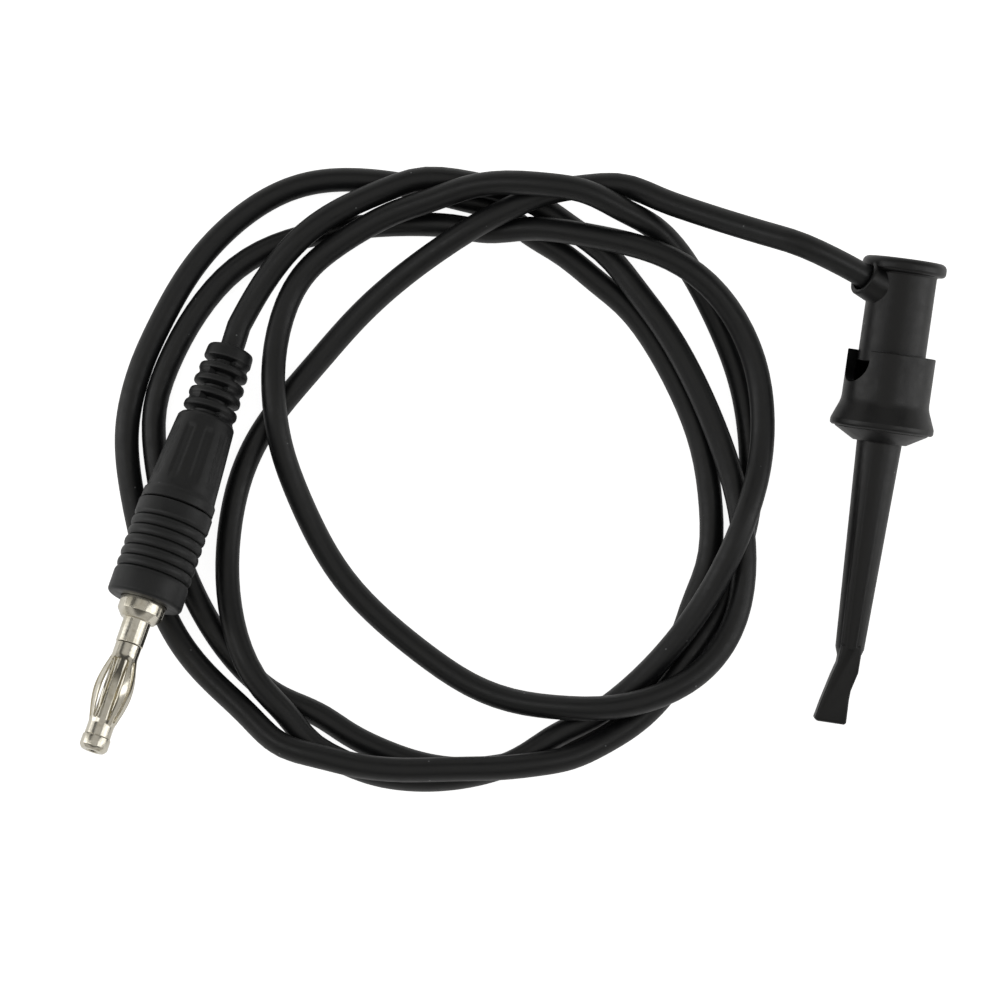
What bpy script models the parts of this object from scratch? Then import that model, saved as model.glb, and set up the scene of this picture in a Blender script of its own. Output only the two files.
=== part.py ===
"""A test lead: a spring-loaded hook clip and a 4 mm lantern plug, joined by one flexible cable.

The clip lies on its finger flange and its foot, with its axis in the YZ plane and its cap raised.
The plug lies at the far end of the cable, with its nose raised on one strand of that cable.
Sizes are in millimetres, and MM turns them into Blender's metres where a mesh is made."""

import math

import bmesh
import bpy
import numpy as np
from mathutils import Matrix, Vector

MM = 0.001
SEGMENTS = 32
MERGE = 0.000005
FIT = 0.1

# The clip: places along its axis, counted from the foot's tip towards the cap
CLIP_SLOPE = math.radians(8.0)
CLIP_TIP = (0.0, -30.6, 1.29)
FOOT_HALF_HEIGHTS = (-1.25, 1.45)
NOSE_END, NOSE_TOP = 8.9, 38.1
NOSE_TIP_RADIUS, NOSE_TOP_RADIUS = 1.9, 2.95
WIRE_BORE_RADIUS, STEM_BORE_RADIUS, STEM_BORE_END = 0.9, 2.15, 27.0
BARREL_FLOOR, BARREL_RIM = 38.2, 48.8
BARREL_RADIUS, BARREL_BORE_RADIUS = 5.75, 4.5
FLANGE_RADIUS, FLANGE_PLACE = 6.8, 39.1
SLOT_HALF_WIDTH, SLOT_BOTTOM, SLOT_START = 2.9, 44.5, 3.3
PLUNGER_END, CAP_UNDERSIDE, CAP_TOP = 47.4, 59.4, 61.2
PLUNGER_RADIUS, CAP_RADIUS = 4.4, 5.5
CHAMBER_RADIUS, CHAMBER_TOP = 3.3, 59.3
HOLDER_FLANGE, HOLDER_TOP, STEM_END, STEM_RADIUS = 53.05, 55.0, 36.8, 2.07
FERRULE_ENDS, FERRULE_RADIUS = (55.2, 57.2), 1.15
SHANK_TOP, SHANK_RADIUS = 57.0, 0.4
HOOK_BEND_RADIUS, HOOK_BEND_PLACE, HOOK_POINT = 0.95, 1.6, 2.8
SPRING_ENDS, SPRING_RADIUS, SPRING_WIRE_RADIUS, SPRING_TURNS = (38.65, 52.7), 2.72, 0.25, 9

# The cable's way out of the plunger: a short tube that leans up and towards the cap
SIDE_TUBE_PLACE, SIDE_TUBE_RADIUS, SIDE_TUBE_BORE_RADIUS = 56.1, 2.55, 1.9
SIDE_TUBE_RISE, SIDE_TUBE_LEAN = math.radians(25.0), math.radians(20.0)
SIDE_TUBE_END = 6.4
CABLE_LEAVES = (3.5, 8.5)

# The plug: places along its axis, counted from the cable's end towards the tip
PLUG_REAR = (-86.2, 6.8, 3.74)
PLUG_HEADING, PLUG_RISE = math.radians(189.35), math.radians(10.4)
RELIEF_END, RELIEF_REAR_RADIUS, RELIEF_RADIUS = 10.05, 3.1, 3.7
RELIEF_SLOTS, RELIEF_FIRST_SLOT, RELIEF_PITCH = 5, 2.3, 1.82
RELIEF_SLOT_HALF_WIDTH, RELIEF_SLOT_DEPTH = 0.38, 0.95
RELIEF_SLOT_ARC = math.radians(240.0)
BOOT_END, BOOT_BAND, BOOT_RADIUS = 22.6, 21.1, 4.85
BOOT_REAR_RADIUS, BOOT_FRONT_RADIUS = 3.8, 4.62
GRIP_REAR, GRIP_FRONT, GRIP_RADIUS, SPIGOT_REAR, SPIGOT_RADIUS = 22.8, 35.8, 5.0, 20.5, 4.0
RIB_PITCH, RIB_COUNT, FIRST_GROOVE, GROOVE_DEPTH = 1.42, 6, 25.2, 0.35
CUP_REAR, CUP_RADIUS, CUP_BORE_RADIUS, CUP_FLOOR = 23.2, 2.0, 1.35, 26.5
PIN_BODY_RADIUS, PIN_BODY_REAR = 2.4, 26.8
COLLAR_RADIUS, COLLAR_REAR, COLLAR_FRONT = 3.0, 35.2, 38.4
SHAFT_RADIUS, SHAFT_END, CORE_RADIUS, CORE_END = 1.8, 41.7, 1.37, 55.2
CAGE_ENDS, FERRULE_LENGTH, CAGE_RADIUS, BULGE_RADIUS, CAGE_WALL = (41.8, 54.25), 1.6, 1.7, 2.5, 0.25
LEAF_SLOTS, LEAF_SLOT_WIDTH = 10, 0.42
TIP_REAR, TIP_END, TIP_RADIUS = 54.35, 56.25, 1.85
CABLE_ARRIVES = (-4.5, 0.0, 6.0, 12.5)
CABLE_END = CABLE_ARRIVES[-1]

# The cable
CABLE_RADIUS = 1.6
CABLE_STEP = 2.0
CABLE_TUBE_STEP = 13.5
CABLE_END_SAMPLES = 8
CABLE_GAP = 0.12
LAYER_STEP = 1.0
PARTING_TURNS, SETTLING_TURNS, HUMP_PASSES = 60, 600, 10
# Where its middle line runs, from the clip to the plug: x, y and the height of its layer
CABLE_ROUTE = (
    (-15, 29.4, 15), (-25, 31.8, 11), (-34, 34, 5.5), (-40.5, 34.6, 3.4), (-46, 33.9, 4.2),
    (-50.5, 31.5, 5.4), (-54.5, 29, 7), (-58, 26, 8), (-63.5, 21.5, 5.6), (-70, 14.5, 2.4),
    (-75.5, 6, 1.6), (-80.5, -2, 1.6), (-83, -10, 1.6), (-83, -20.5, 1.6), (-81, -28.5, 3),
    (-78, -34.5, 4.8), (-73.5, -39, 3.6), (-67, -43.5, 1.8), (-59, -46, 2.6), (-51, -45.5, 3.2),
    (-43.5, -43, 3.8), (-38, -39.5, 4.4), (-32.5, -35, 3.6), (-28, -30.5, 4.4),
    (-23.5, -24.5, 4.4), (-20, -18, 4.8), (-17.5, -11.5, 7.4), (-16, -5.5, 8), (-15, 1, 5.4),
    (-15.5, 8, 4.8), (-17.5, 15, 4.8), (-22, 21.5, 4.8), (-27.5, 25.5, 5), (-34.5, 27.5, 4.8),
    (-41, 28, 4.8), (-48.5, 28.5, 4.4), (-56, 28, 1.8), (-72, 26, 1.6), (-87, 19, 1.6),
    (-95, 3.5, 1.6), (-95, -6, 1.6), (-89, -22, 1.6), (-79, -34.5, 1.6), (-65.5, -41, 1.6),
    (-49, -44, 1.6), (-34, -38, 1.6), (-23.5, -26.5, 1.6), (-19.5, -14, 1.6), (-20.5, -4.5, 1.6),
    (-23, 4, 1.6), (-28.5, 13, 1.6), (-34, 19.5, 1.6), (-40.5, 24.5, 1.6), (-48, 28, 1.6),
    (-55, 30.5, 1.6), (-68, 32.5, 1.6), (-82, 30, 1.6), (-93, 18, 1.6), (-98.5, 0, 1.6),
    (-98, -9.5, 1.6), (-91.5, -26.5, 1.6), (-86, -34, 1.6), (-79, -39, 1.6), (-72, -43, 3.4),
    (-64, -45, 5), (-56.5, -45, 4.6), (-48.5, -43.5, 4.8), (-41, -42.5, 6.4), (-34.5, -39.5, 4.6),
    (-28.5, -36.5, 3.8), (-24, -31.5, 3), (-21, -25.5, 3), (-18.5, -19, 2.4), (-16.5, -12.5, 1.8),
    (-15.5, -7.5, 1.6), (-15.5, -0.5, 1.6), (-18.5, 12, 1.6), (-25.5, 23.5, 1.6),
    (-31, 29.5, 1.6), (-37, 32.5, 4), (-43.5, 33.5, 7), (-50, 33.2, 8), (-57, 32.6, 5.2),
    (-63, 30.8, 5), (-68.7, 27.2, 5), (-74, 23, 4.8), (-78.5, 18.6, 2.6), (-80.3, 12.5, 1.6),
    (-80.5, 5.5, 3.6), (-79, -1.5, 4.8), (-76.5, -8, 2), (-67, -21.5, 1.6), (-51.5, -31.5, 1.6),
    (-43.5, -34, 2.4), (-35.5, -34, 5.2), (-29, -33, 7), (-23.5, -30.5, 7.4), (-18.5, -26.5, 5.6),
    (-15.5, -20.5, 4), (-15, -14, 4.4), (-16, -7.5, 4.8), (-18, -1.5, 3), (-21.5, 5.5, 2.8),
    (-25.5, 12, 2.8), (-30.5, 18.5, 2.8), (-37.5, 25, 2.6), (-43.5, 29, 2.2), (-50.5, 32, 2.6),
    (-56.5, 33.5, 3.2), (-62.5, 33, 4), (-67, 31.5, 4.8), (-73, 28.5, 3.4), (-78, 24.5, 4.2),
    (-81.8, 19.4, 4.8), (-84.2, 14.4, 2.6),
)


# ---------------------------------------------------------------- scene and materials


def clear_scene():
    """Removes what a new file holds."""
    for obj in list(bpy.data.objects):
        bpy.data.objects.remove(obj, do_unlink=True)


def new_collection(name):
    collection = bpy.data.collections.new(name)
    bpy.context.scene.collection.children.link(collection)
    return collection


def finish(name, colour, roughness, metallic=0.0):
    """A Principled BSDF material of one colour."""
    material = bpy.data.materials.new(name)
    material.use_nodes = True
    shader = material.node_tree.nodes["Principled BSDF"]
    shader.inputs["Base Color"].default_value = (*colour, 1.0)
    shader.inputs["Roughness"].default_value = roughness
    shader.inputs["Metallic"].default_value = metallic
    return material


def axis_empty(name, place, x_axis, y_axis, z_axis):
    """An empty whose Z axis is a piece's turning or sliding axis."""
    empty = bpy.data.objects.new(name, None)
    PARTS.objects.link(empty)
    turn = Matrix((x_axis, y_axis, z_axis)).transposed().to_4x4()
    empty.matrix_world = Matrix.Translation(Vector(place) * MM) @ turn
    return empty


def place_part(obj, material, parent):
    """Puts a part in the object's collection, on its axis."""
    PARTS.objects.link(obj)
    obj.parent = parent
    obj.data.materials.append(material)
    return obj


# ---------------------------------------------------------------- shapes


def screw_once(obj, segments):
    """Turns an outline in the XZ plane once round Z."""
    screw = obj.modifiers.new("turn", "SCREW")
    screw.axis = "Z"
    screw.angle = 2 * math.pi
    screw.steps = segments
    screw.render_steps = segments
    screw.use_merge_vertices = True
    screw.merge_threshold = MERGE


def turned(name, outline, material, parent, hollow=False, segments=SEGMENTS):
    """A turned part. Its outline's (radius, along) points run down the outside first; a hollow
    part's outline goes on up the inside, and any other starts and ends on the axis."""
    mesh = bpy.data.meshes.new(name)
    points = [(radius * MM, 0.0, along * MM) for radius, along in outline]
    edges = [(i, i + 1) for i in range(len(points) - 1)]
    if hollow:
        edges.append((len(points) - 1, 0))
    mesh.from_pydata(points, edges, [])
    obj = place_part(bpy.data.objects.new(name, mesh), material, parent)
    screw_once(obj, segments)
    return obj


def wire(name, points, radius, material, parent):
    """A round wire or tube along a line of points."""
    curve = bpy.data.curves.new(name, "CURVE")
    curve.dimensions = "3D"
    curve.bevel_depth = radius * MM
    curve.bevel_resolution = 2
    curve.use_fill_caps = True
    spline = curve.splines.new("POLY")
    spline.points.add(len(points) - 1)
    for target, point in zip(spline.points, points):
        target.co = (*(Vector(point) * MM), 1.0)
    return place_part(bpy.data.objects.new(name, curve), material, parent)


def helper(name, shape, parent):
    """A cutter or an added lump, kept out of renders; shape is its bmesh."""
    bmesh.ops.recalc_face_normals(shape, faces=shape.faces)
    mesh = bpy.data.meshes.new(name)
    shape.to_mesh(mesh)
    shape.free()
    obj = bpy.data.objects.new(name, mesh)
    CUTTERS.objects.link(obj)
    obj.parent = parent
    obj.hide_render = True
    obj.display_type = "WIRE"
    return obj


def box_helper(name, low, high, parent, turn=0.0):
    """A box between two corners, turned about the parent's Z axis."""
    shape = bmesh.new()
    size = [(b - a) * MM for a, b in zip(low, high)]
    middle = Vector([(a + b) / 2 * MM for a, b in zip(low, high)])
    place = Matrix.Rotation(turn, 4, "Z") @ Matrix.Translation(middle)
    bmesh.ops.create_cube(shape, size=1.0, matrix=place @ Matrix.Diagonal((*size, 1.0)))
    return helper(name, shape, parent)


def rod_helper(name, start, direction, length, radius, parent):
    """A round rod from a point in a direction."""
    shape = bmesh.new()
    turn = Vector(direction).to_track_quat("Z", "Y").to_matrix().to_4x4()
    middle = (Vector(start) + Vector(direction).normalized() * length / 2) * MM
    bmesh.ops.create_cone(
        shape, cap_ends=True, segments=SEGMENTS, radius1=radius * MM, radius2=radius * MM,
        depth=length * MM, matrix=Matrix.Translation(middle) @ turn,
    )
    return helper(name, shape, parent)


def part_ring_helper(name, inner, outer, low, high, start, sweep, parent):
    """Part of a square-edged ring: a rectangle spun about Z through an angle."""
    shape = bmesh.new()
    middle = Vector(((inner + outer) / 2 * MM, 0.0, (low + high) / 2 * MM))
    place = Matrix.Translation(middle) @ Matrix.Rotation(math.pi / 2, 4, "X")
    size = Matrix.Diagonal(((outer - inner) * MM, (high - low) * MM, 1.0, 1.0))
    bmesh.ops.create_grid(shape, x_segments=1, y_segments=1, size=0.5, matrix=place @ size)
    bmesh.ops.rotate(shape, verts=shape.verts, matrix=Matrix.Rotation(start, 3, "Z"))
    bmesh.ops.spin(
        shape, geom=list(shape.verts) + list(shape.edges) + list(shape.faces),
        axis=(0, 0, 1), cent=(0, 0, 0), angle=sweep, steps=16,
    )
    return helper(name, shape, parent)


def combine(obj, other, operation):
    boolean = obj.modifiers.new(f"{operation} {other.name}".lower(), "BOOLEAN")
    boolean.operation = operation
    boolean.solver = "EXACT"
    boolean.object = other


# ---------------------------------------------------------------- the clip


def side_tube_direction():
    """The direction in which the cable leaves the plunger, in the clip's axes."""
    across = math.cos(SIDE_TUBE_LEAN)
    return Vector((
        across * math.cos(SIDE_TUBE_RISE),
        across * math.sin(SIDE_TUBE_RISE),
        math.sin(SIDE_TUBE_LEAN),
    ))


def side_tube_point(distance):
    return Vector((0.0, 0.0, SIDE_TUBE_PLACE)) + side_tube_direction() * distance


def build_barrel(axis, plastic):
    """The outer sleeve with its finger flange, and the slot that clears the cable's side tube."""
    outline = [
        (BARREL_RADIUS - 0.25, BARREL_RIM), (BARREL_RADIUS, BARREL_RIM - 0.25),
        (BARREL_RADIUS, 42.4), (6.0, 41.8), (FLANGE_RADIUS - 0.15, FLANGE_PLACE + 0.7),
        (FLANGE_RADIUS, FLANGE_PLACE + 0.2), (FLANGE_RADIUS, FLANGE_PLACE - 0.1),
        (FLANGE_RADIUS - 0.2, FLANGE_PLACE - 0.4), (3.4, 37.1),
        (NOSE_TOP_RADIUS + FIT, 37.1), (NOSE_TOP_RADIUS + FIT, BARREL_FLOOR),
        (BARREL_BORE_RADIUS, BARREL_FLOOR), (BARREL_BORE_RADIUS, BARREL_RIM),
    ]
    barrel = turned("clip_barrel", outline, plastic, axis, hollow=True)
    out = Vector((math.cos(SIDE_TUBE_RISE), math.sin(SIDE_TUBE_RISE), 0.0))
    slot_end = rod_helper(
        "slot_end", out * SLOT_START + Vector((0, 0, SLOT_BOTTOM + SLOT_HALF_WIDTH)), out, 5.3,
        SLOT_HALF_WIDTH, axis,
    )
    slot = box_helper(
        "slot", (SLOT_START, -SLOT_HALF_WIDTH, SLOT_BOTTOM + SLOT_HALF_WIDTH),
        (8.6, SLOT_HALF_WIDTH, BARREL_RIM + 1.0), axis, SIDE_TUBE_RISE,
    )
    combine(barrel, slot_end, "DIFFERENCE")
    combine(barrel, slot, "DIFFERENCE")


def foot_lump(axis):
    """The bent foot below the nose: its outline, raised to its height, with eased edges."""
    left = [(1.4, 9.6), (1.45, 7.8), (2.02, 6.0), (2.9, 2.5), (3.4, 0.15), (3.2, -0.2)]
    right = [(-0.85, -0.25), (-0.78, 3.0), (-0.84, 4.3), (-1.46, 6.8), (-1.5, 9.6)]
    shape = bmesh.new()
    low, high = (height * MM for height in FOOT_HALF_HEIGHTS)
    corners = [shape.verts.new((x * MM, low, along * MM)) for x, along in left + right]
    base = shape.faces.new(corners)
    raised = bmesh.ops.extrude_face_region(shape, geom=[base])["geom"]
    verts = [item for item in raised if isinstance(item, bmesh.types.BMVert)]
    bmesh.ops.translate(shape, verts=verts, vec=(0.0, high - low, 0.0))
    foot = helper("foot_lump", shape, axis)
    easing = foot.modifiers.new("eased edges", "BEVEL")
    easing.width = 0.25 * MM
    easing.segments = 2
    easing.limit_method = "ANGLE"
    easing.angle_limit = math.radians(50.0)
    return foot


def build_nose(axis, plastic):
    """The tapering nose with the foot at its end, open underneath where the hook lies."""
    outline = [
        (NOSE_TOP_RADIUS, NOSE_TOP), (NOSE_TOP_RADIUS, 36.9), (NOSE_TIP_RADIUS, NOSE_END + 0.5),
        (NOSE_TIP_RADIUS - 0.4, NOSE_END), (WIRE_BORE_RADIUS, NOSE_END),
        (WIRE_BORE_RADIUS, STEM_BORE_END - 1.2), (STEM_BORE_RADIUS, STEM_BORE_END),
        (STEM_BORE_RADIUS, NOSE_TOP),
    ]
    nose = turned("clip_nose", outline, plastic, axis, hollow=True)
    combine(nose, foot_lump(axis), "UNION")
    groove = box_helper("wire_groove", (-0.5, -3.0, -1.5), (0.5, 0.55, NOSE_END + 1.2), axis)
    pocket = box_helper("hook_pocket", (-0.5, -3.1, -1.6), (2.5, 0.55, 3.4), axis)
    combine(nose, groove, "DIFFERENCE")
    combine(nose, pocket, "DIFFERENCE")


def build_plunger(axis, plastic):
    """The plunger with its thumb cap and the side tube that the cable comes out of."""
    outline = [
        (0.0, CAP_TOP), (CAP_RADIUS - 0.4, CAP_TOP), (CAP_RADIUS - 0.1, CAP_TOP - 0.15),
        (CAP_RADIUS, CAP_TOP - 0.5), (CAP_RADIUS, CAP_UNDERSIDE + 0.4),
        (CAP_RADIUS - 0.3, CAP_UNDERSIDE), (PLUNGER_RADIUS, CAP_UNDERSIDE),
        (PLUNGER_RADIUS, PLUNGER_END + 0.2), (PLUNGER_RADIUS - 0.2, PLUNGER_END),
        (0.0, PLUNGER_END),
    ]
    plunger = turned("plunger", outline, plastic, axis)
    direction = side_tube_direction()
    side_tube = rod_helper(
        "side_tube", side_tube_point(2.5), direction, SIDE_TUBE_END - 2.5, SIDE_TUBE_RADIUS, axis
    )
    chamber = rod_helper(
        "chamber", (0, 0, PLUNGER_END - 1.0), (0, 0, 1), CHAMBER_TOP - PLUNGER_END + 1.0,
        CHAMBER_RADIUS, axis,
    )
    cable_bore = rod_helper(
        "cable_bore", side_tube_point(1.8), direction, SIDE_TUBE_END, SIDE_TUBE_BORE_RADIUS, axis
    )
    combine(plunger, side_tube, "UNION")
    combine(plunger, chamber, "DIFFERENCE")
    combine(plunger, cable_bore, "DIFFERENCE")


def build_holder(axis, plastic):
    """The flanged bush that is pressed into the plunger and carries the hook's shank."""
    outline = [
        (CHAMBER_RADIUS - 0.15, HOLDER_TOP), (CHAMBER_RADIUS - 0.15, HOLDER_FLANGE),
        (STEM_RADIUS, HOLDER_FLANGE), (STEM_RADIUS, STEM_END + 0.2),
        (STEM_RADIUS - 0.2, STEM_END), (SHANK_RADIUS + FIT, STEM_END),
        (SHANK_RADIUS + FIT, HOLDER_TOP),
    ]
    turned("shank_holder", outline, plastic, axis, hollow=True)


def build_hook(axis, steel):
    """The straight shank with its J at the end."""
    points = [(0.0, 0.0, SHANK_TOP), (0.0, 0.0, 30.0)]
    for step in range(9):
        angle = math.pi * step / 8
        points.append((
            HOOK_BEND_RADIUS * (1 - math.cos(angle)), 0.0,
            HOOK_BEND_PLACE - HOOK_BEND_RADIUS * math.sin(angle),
        ))
    points.append((2 * HOOK_BEND_RADIUS, 0.0, HOOK_POINT))
    wire("hook_shank", points, SHANK_RADIUS, steel, axis)


def build_spring(axis, steel):
    """The return spring between the barrel's floor and the holder's flange."""
    low, high = SPRING_ENDS
    steps = SPRING_TURNS * 10
    points = []
    for step in range(steps + 1):
        angle = 2 * math.pi * step / 10
        along = low + (high - low) * step / steps
        points.append((SPRING_RADIUS * math.cos(angle), SPRING_RADIUS * math.sin(angle), along))
    wire("return_spring", points, SPRING_WIRE_RADIUS, steel, axis)


def build_clip_joint(axis, copper, tin):
    """The ferrule on the shank's top, and the bared strands that run into it from the cable."""
    low, high = FERRULE_ENDS
    bore = SHANK_RADIUS + FIT
    outline = [(FERRULE_RADIUS, high), (FERRULE_RADIUS, low), (bore, low), (bore, high)]
    turned("crimp_ferrule", outline, tin, axis, hollow=True)
    start = side_tube_point(CABLE_LEAVES[0] - 0.2)
    points = [start, (1.6, 0.75, 57.9), (0.6, 0.28, 58.2), (0.0, 0.0, 57.9), (0.0, 0.0, 57.12)]
    wire("conductor_end_clip", points, 0.4, copper, axis)


# ---------------------------------------------------------------- the plug


def build_boot(axis, plastic):
    """The rear of the plug's body: a slotted strain relief that widens into the taper."""
    outline = [(BOOT_RADIUS, BOOT_END), (BOOT_RADIUS, BOOT_BAND)]
    outline += [(BOOT_FRONT_RADIUS, BOOT_BAND - 0.3)]
    outline += [(BOOT_REAR_RADIUS, RELIEF_END + 0.4), (RELIEF_RADIUS - 0.1, RELIEF_END)]
    slots = []
    for slot in reversed(range(RELIEF_SLOTS)):
        radius = RELIEF_REAR_RADIUS + (RELIEF_RADIUS - RELIEF_REAR_RADIUS) * slot / RELIEF_SLOTS
        middle = RELIEF_FIRST_SLOT + RELIEF_PITCH * slot
        slots.append((slot, middle, radius))
        outline += [(radius, middle + 0.5), (radius - 0.2, middle), (radius, middle - 0.5)]
    outline += [(RELIEF_REAR_RADIUS, 0.6), (RELIEF_REAR_RADIUS - 0.4, 0.1)]
    outline += [(CABLE_RADIUS + 0.6, 0.0), (CABLE_RADIUS + 0.15, 0.2)]
    outline += [(CABLE_RADIUS + 0.15, CABLE_END + 0.4), (2.6, CABLE_END + 1.4)]
    outline += [(2.6, SPIGOT_REAR - 0.2), (SPIGOT_RADIUS + FIT, SPIGOT_REAR - 0.2)]
    outline += [(SPIGOT_RADIUS + FIT, BOOT_END)]
    boot = turned("plug_boot", outline, plastic, axis, hollow=True)
    for slot, middle, radius in slots:
        start = (math.pi if slot % 2 == 0 else 0.0) - RELIEF_SLOT_ARC / 2
        cutter = part_ring_helper(
            f"relief_slot_{slot}", radius - RELIEF_SLOT_DEPTH, radius + 1.0,
            middle - RELIEF_SLOT_HALF_WIDTH, middle + RELIEF_SLOT_HALF_WIDTH,
            start, RELIEF_SLOT_ARC, axis,
        )
        combine(boot, cutter, "DIFFERENCE")


def build_grip(axis, plastic):
    """The front of the plug's body, with its finger ribs, and the spigot that holds the boot."""
    outline = [(GRIP_RADIUS - 0.35, GRIP_FRONT), (GRIP_RADIUS, GRIP_FRONT - 0.35)]
    for rib in reversed(range(RIB_COUNT)):
        middle = FIRST_GROOVE + RIB_PITCH * rib
        outline += [
            (GRIP_RADIUS, middle + 0.3), (GRIP_RADIUS - GROOVE_DEPTH, middle),
            (GRIP_RADIUS, middle - 0.3),
        ]
    outline += [(GRIP_RADIUS, GRIP_REAR), (SPIGOT_RADIUS, GRIP_REAR), (SPIGOT_RADIUS, SPIGOT_REAR)]
    bore = PIN_BODY_RADIUS + FIT
    outline += [(bore, SPIGOT_REAR), (bore, COLLAR_REAR - FIT)]
    outline += [(COLLAR_RADIUS + FIT, COLLAR_REAR - FIT), (COLLAR_RADIUS + FIT, GRIP_FRONT)]
    turned("plug_grip", outline, plastic, axis, hollow=True)


def build_pin(axis, nickel):
    """The turned pin: core, shaft and collar in front, body and solder cup inside the grip."""
    outline = [
        (0.0, CORE_END), (CORE_RADIUS, CORE_END), (CORE_RADIUS, SHAFT_END),
        (SHAFT_RADIUS, SHAFT_END), (SHAFT_RADIUS, COLLAR_FRONT),
        (COLLAR_RADIUS - 0.35, COLLAR_FRONT), (COLLAR_RADIUS, COLLAR_FRONT - 0.35),
        (COLLAR_RADIUS, COLLAR_REAR), (PIN_BODY_RADIUS, COLLAR_REAR),
        (PIN_BODY_RADIUS, PIN_BODY_REAR), (CUP_RADIUS, PIN_BODY_REAR), (CUP_RADIUS, CUP_REAR),
        (CUP_BORE_RADIUS, CUP_REAR), (CUP_BORE_RADIUS, CUP_FLOOR), (0.0, CUP_FLOOR),
    ]
    turned("plug_pin", outline, nickel, axis)


def leaf_radius(along):
    """The leaves' outer radius: straight ferrules with one long swell between them."""
    low, high = CAGE_ENDS[0] + FERRULE_LENGTH, CAGE_ENDS[1] - FERRULE_LENGTH
    share = min(max((along - low) / (high - low), 0.0), 1.0)
    return CAGE_RADIUS + (BULGE_RADIUS - CAGE_RADIUS) * math.sin(math.pi * share) ** 1.2


def build_cage(axis, spring_metal):
    """The lantern spring: two ferrules joined by leaves that swell outwards."""
    low, high = CAGE_ENDS
    places = [high - (high - low) * step / 12 for step in range(13)]
    outline = [(leaf_radius(along), along) for along in places]
    outline += [(leaf_radius(along) - CAGE_WALL, along) for along in reversed(places)]
    cage = turned("cage_spring", outline, spring_metal, axis, hollow=True, segments=36)
    for pair in range(LEAF_SLOTS // 2):
        slot = box_helper(
            f"leaf_slots_{pair}", (-4.0, -LEAF_SLOT_WIDTH / 2, low + FERRULE_LENGTH + 0.4),
            (4.0, LEAF_SLOT_WIDTH / 2, high - FERRULE_LENGTH - 0.4), axis,
            math.pi * pair / (LEAF_SLOTS // 2),
        )
        combine(cage, slot, "DIFFERENCE")


def build_tip(axis, nickel):
    """The head that is pressed on the core's end, with a dimple in its face."""
    bore = CORE_RADIUS + FIT
    outline = [
        (0.0, TIP_END - 0.55), (0.6, TIP_END - 0.45), (0.95, TIP_END), (1.45, TIP_END),
        (1.85, TIP_END - 0.3), (TIP_RADIUS, TIP_END - 0.75), (TIP_RADIUS, TIP_REAR + 0.1),
        (TIP_RADIUS - 0.1, TIP_REAR), (bore, TIP_REAR), (bore, CORE_END + FIT),
        (0.0, CORE_END + FIT),
    ]
    turned("tip_cap", outline, nickel, axis)


def build_plug_joint(axis, copper):
    """The bared strands between the cable's end and the pin's solder cup."""
    outline = [(0.0, 26.3), (0.7, 26.3), (0.7, CABLE_END + 0.2), (0.0, CABLE_END + 0.2)]
    turned("conductor_end_plug", outline, copper, axis, segments=16)


# ---------------------------------------------------------------- the cable


def smooth_line(points, step):
    """A line of points a step apart on the Catmull-Rom curve through the given ones."""
    knots = np.array([points[0], *points, points[-1]], float)
    samples = []
    for a, b, c, d in zip(knots, knots[1:], knots[2:], knots[3:]):
        for share in np.arange(0.0, 1.0, 0.05):
            bend = (2 * a - 5 * b + 4 * c - d) * share**2 + (3 * b - a - 3 * c + d) * share**3
            samples.append((2 * b + (c - a) * share + bend) / 2)
    samples.append(knots[-1])
    return spaced(np.array(samples), step)


def spaced(line, step):
    """The same line with its points evenly spaced, at most a step apart."""
    along = np.concatenate([[0.0], np.cumsum(np.linalg.norm(np.diff(line, axis=0), axis=1))])
    places = np.linspace(0.0, along[-1], math.ceil(along[-1] / step) + 1)
    return np.stack([np.interp(places, along, line[:, axis]) for axis in range(3)], axis=1)


def eased(values, passes):
    """The values with each inner one drawn towards its neighbours."""
    for _ in range(passes):
        values[1:-1] += (values[:-2] - 2 * values[1:-1] + values[2:]) / 4
    return values


def close_pairs(line, size):
    """Index pairs of points on different strands that are less than a cable apart in plan."""
    apart = np.linalg.norm(line[:, None, :2] - line[None, :, :2], axis=2)
    first, second = np.nonzero(np.triu(apart < size, k=round(4 * size / CABLE_STEP)))
    return first, second, apart[first, second]


def side_by_side(line, size, held):
    """Moves strands of one layer apart in plan until they lie beside each other."""
    for _ in range(PARTING_TURNS):
        first, second, apart = close_pairs(line, size)
        level = np.abs(line[first, 2] - line[second, 2]) < LAYER_STEP
        first, second, apart = first[level], second[level], apart[level]
        push = (line[first, :2] - line[second, :2]) / np.maximum(apart, 0.1)[:, None]
        push *= ((size - apart) / 2)[:, None]
        moves = np.zeros((len(line), 2))
        counts = np.ones(len(line))
        for index, move in ((first, push), (second, -push)):
            np.add.at(moves, index, move)
            np.add.at(counts, index, 1.0)
        moves[:held] = moves[-held:] = 0.0
        line[:, :2] += eased(moves / counts[:, None], 4)
    return line


def settled(line, held):
    """Lets the strands lie on each other: the cable's weight draws it down, and where two strands
    cross, the upper one is lifted in a long low hump until they clear. The ends stay held."""
    size = 2 * CABLE_RADIUS + CABLE_GAP
    line = side_by_side(line, size, held)
    first, second, apart = close_pairs(line, size)
    needed = np.sqrt(size**2 - apart**2)
    heights = line[:, 2].copy()
    upper = np.where(heights[first] > heights[second], first, second)
    lower = first + second - upper
    start = heights.copy()
    for turn in range(SETTLING_TURNS):
        lift = np.zeros(len(heights))
        short = np.maximum(needed - heights[upper] + heights[lower], 0.0)
        np.maximum.at(lift, upper, short)
        heights += eased(lift, HUMP_PASSES)
        if turn < SETTLING_TURNS / 2:
            eased(heights, 4)
            heights -= 0.05
        heights = np.maximum(heights, CABLE_RADIUS)
        heights[:held] = start[:held]
        heights[-held:] = start[-held:]
    line[:, 2] = eased(heights, 1)
    return line


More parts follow.
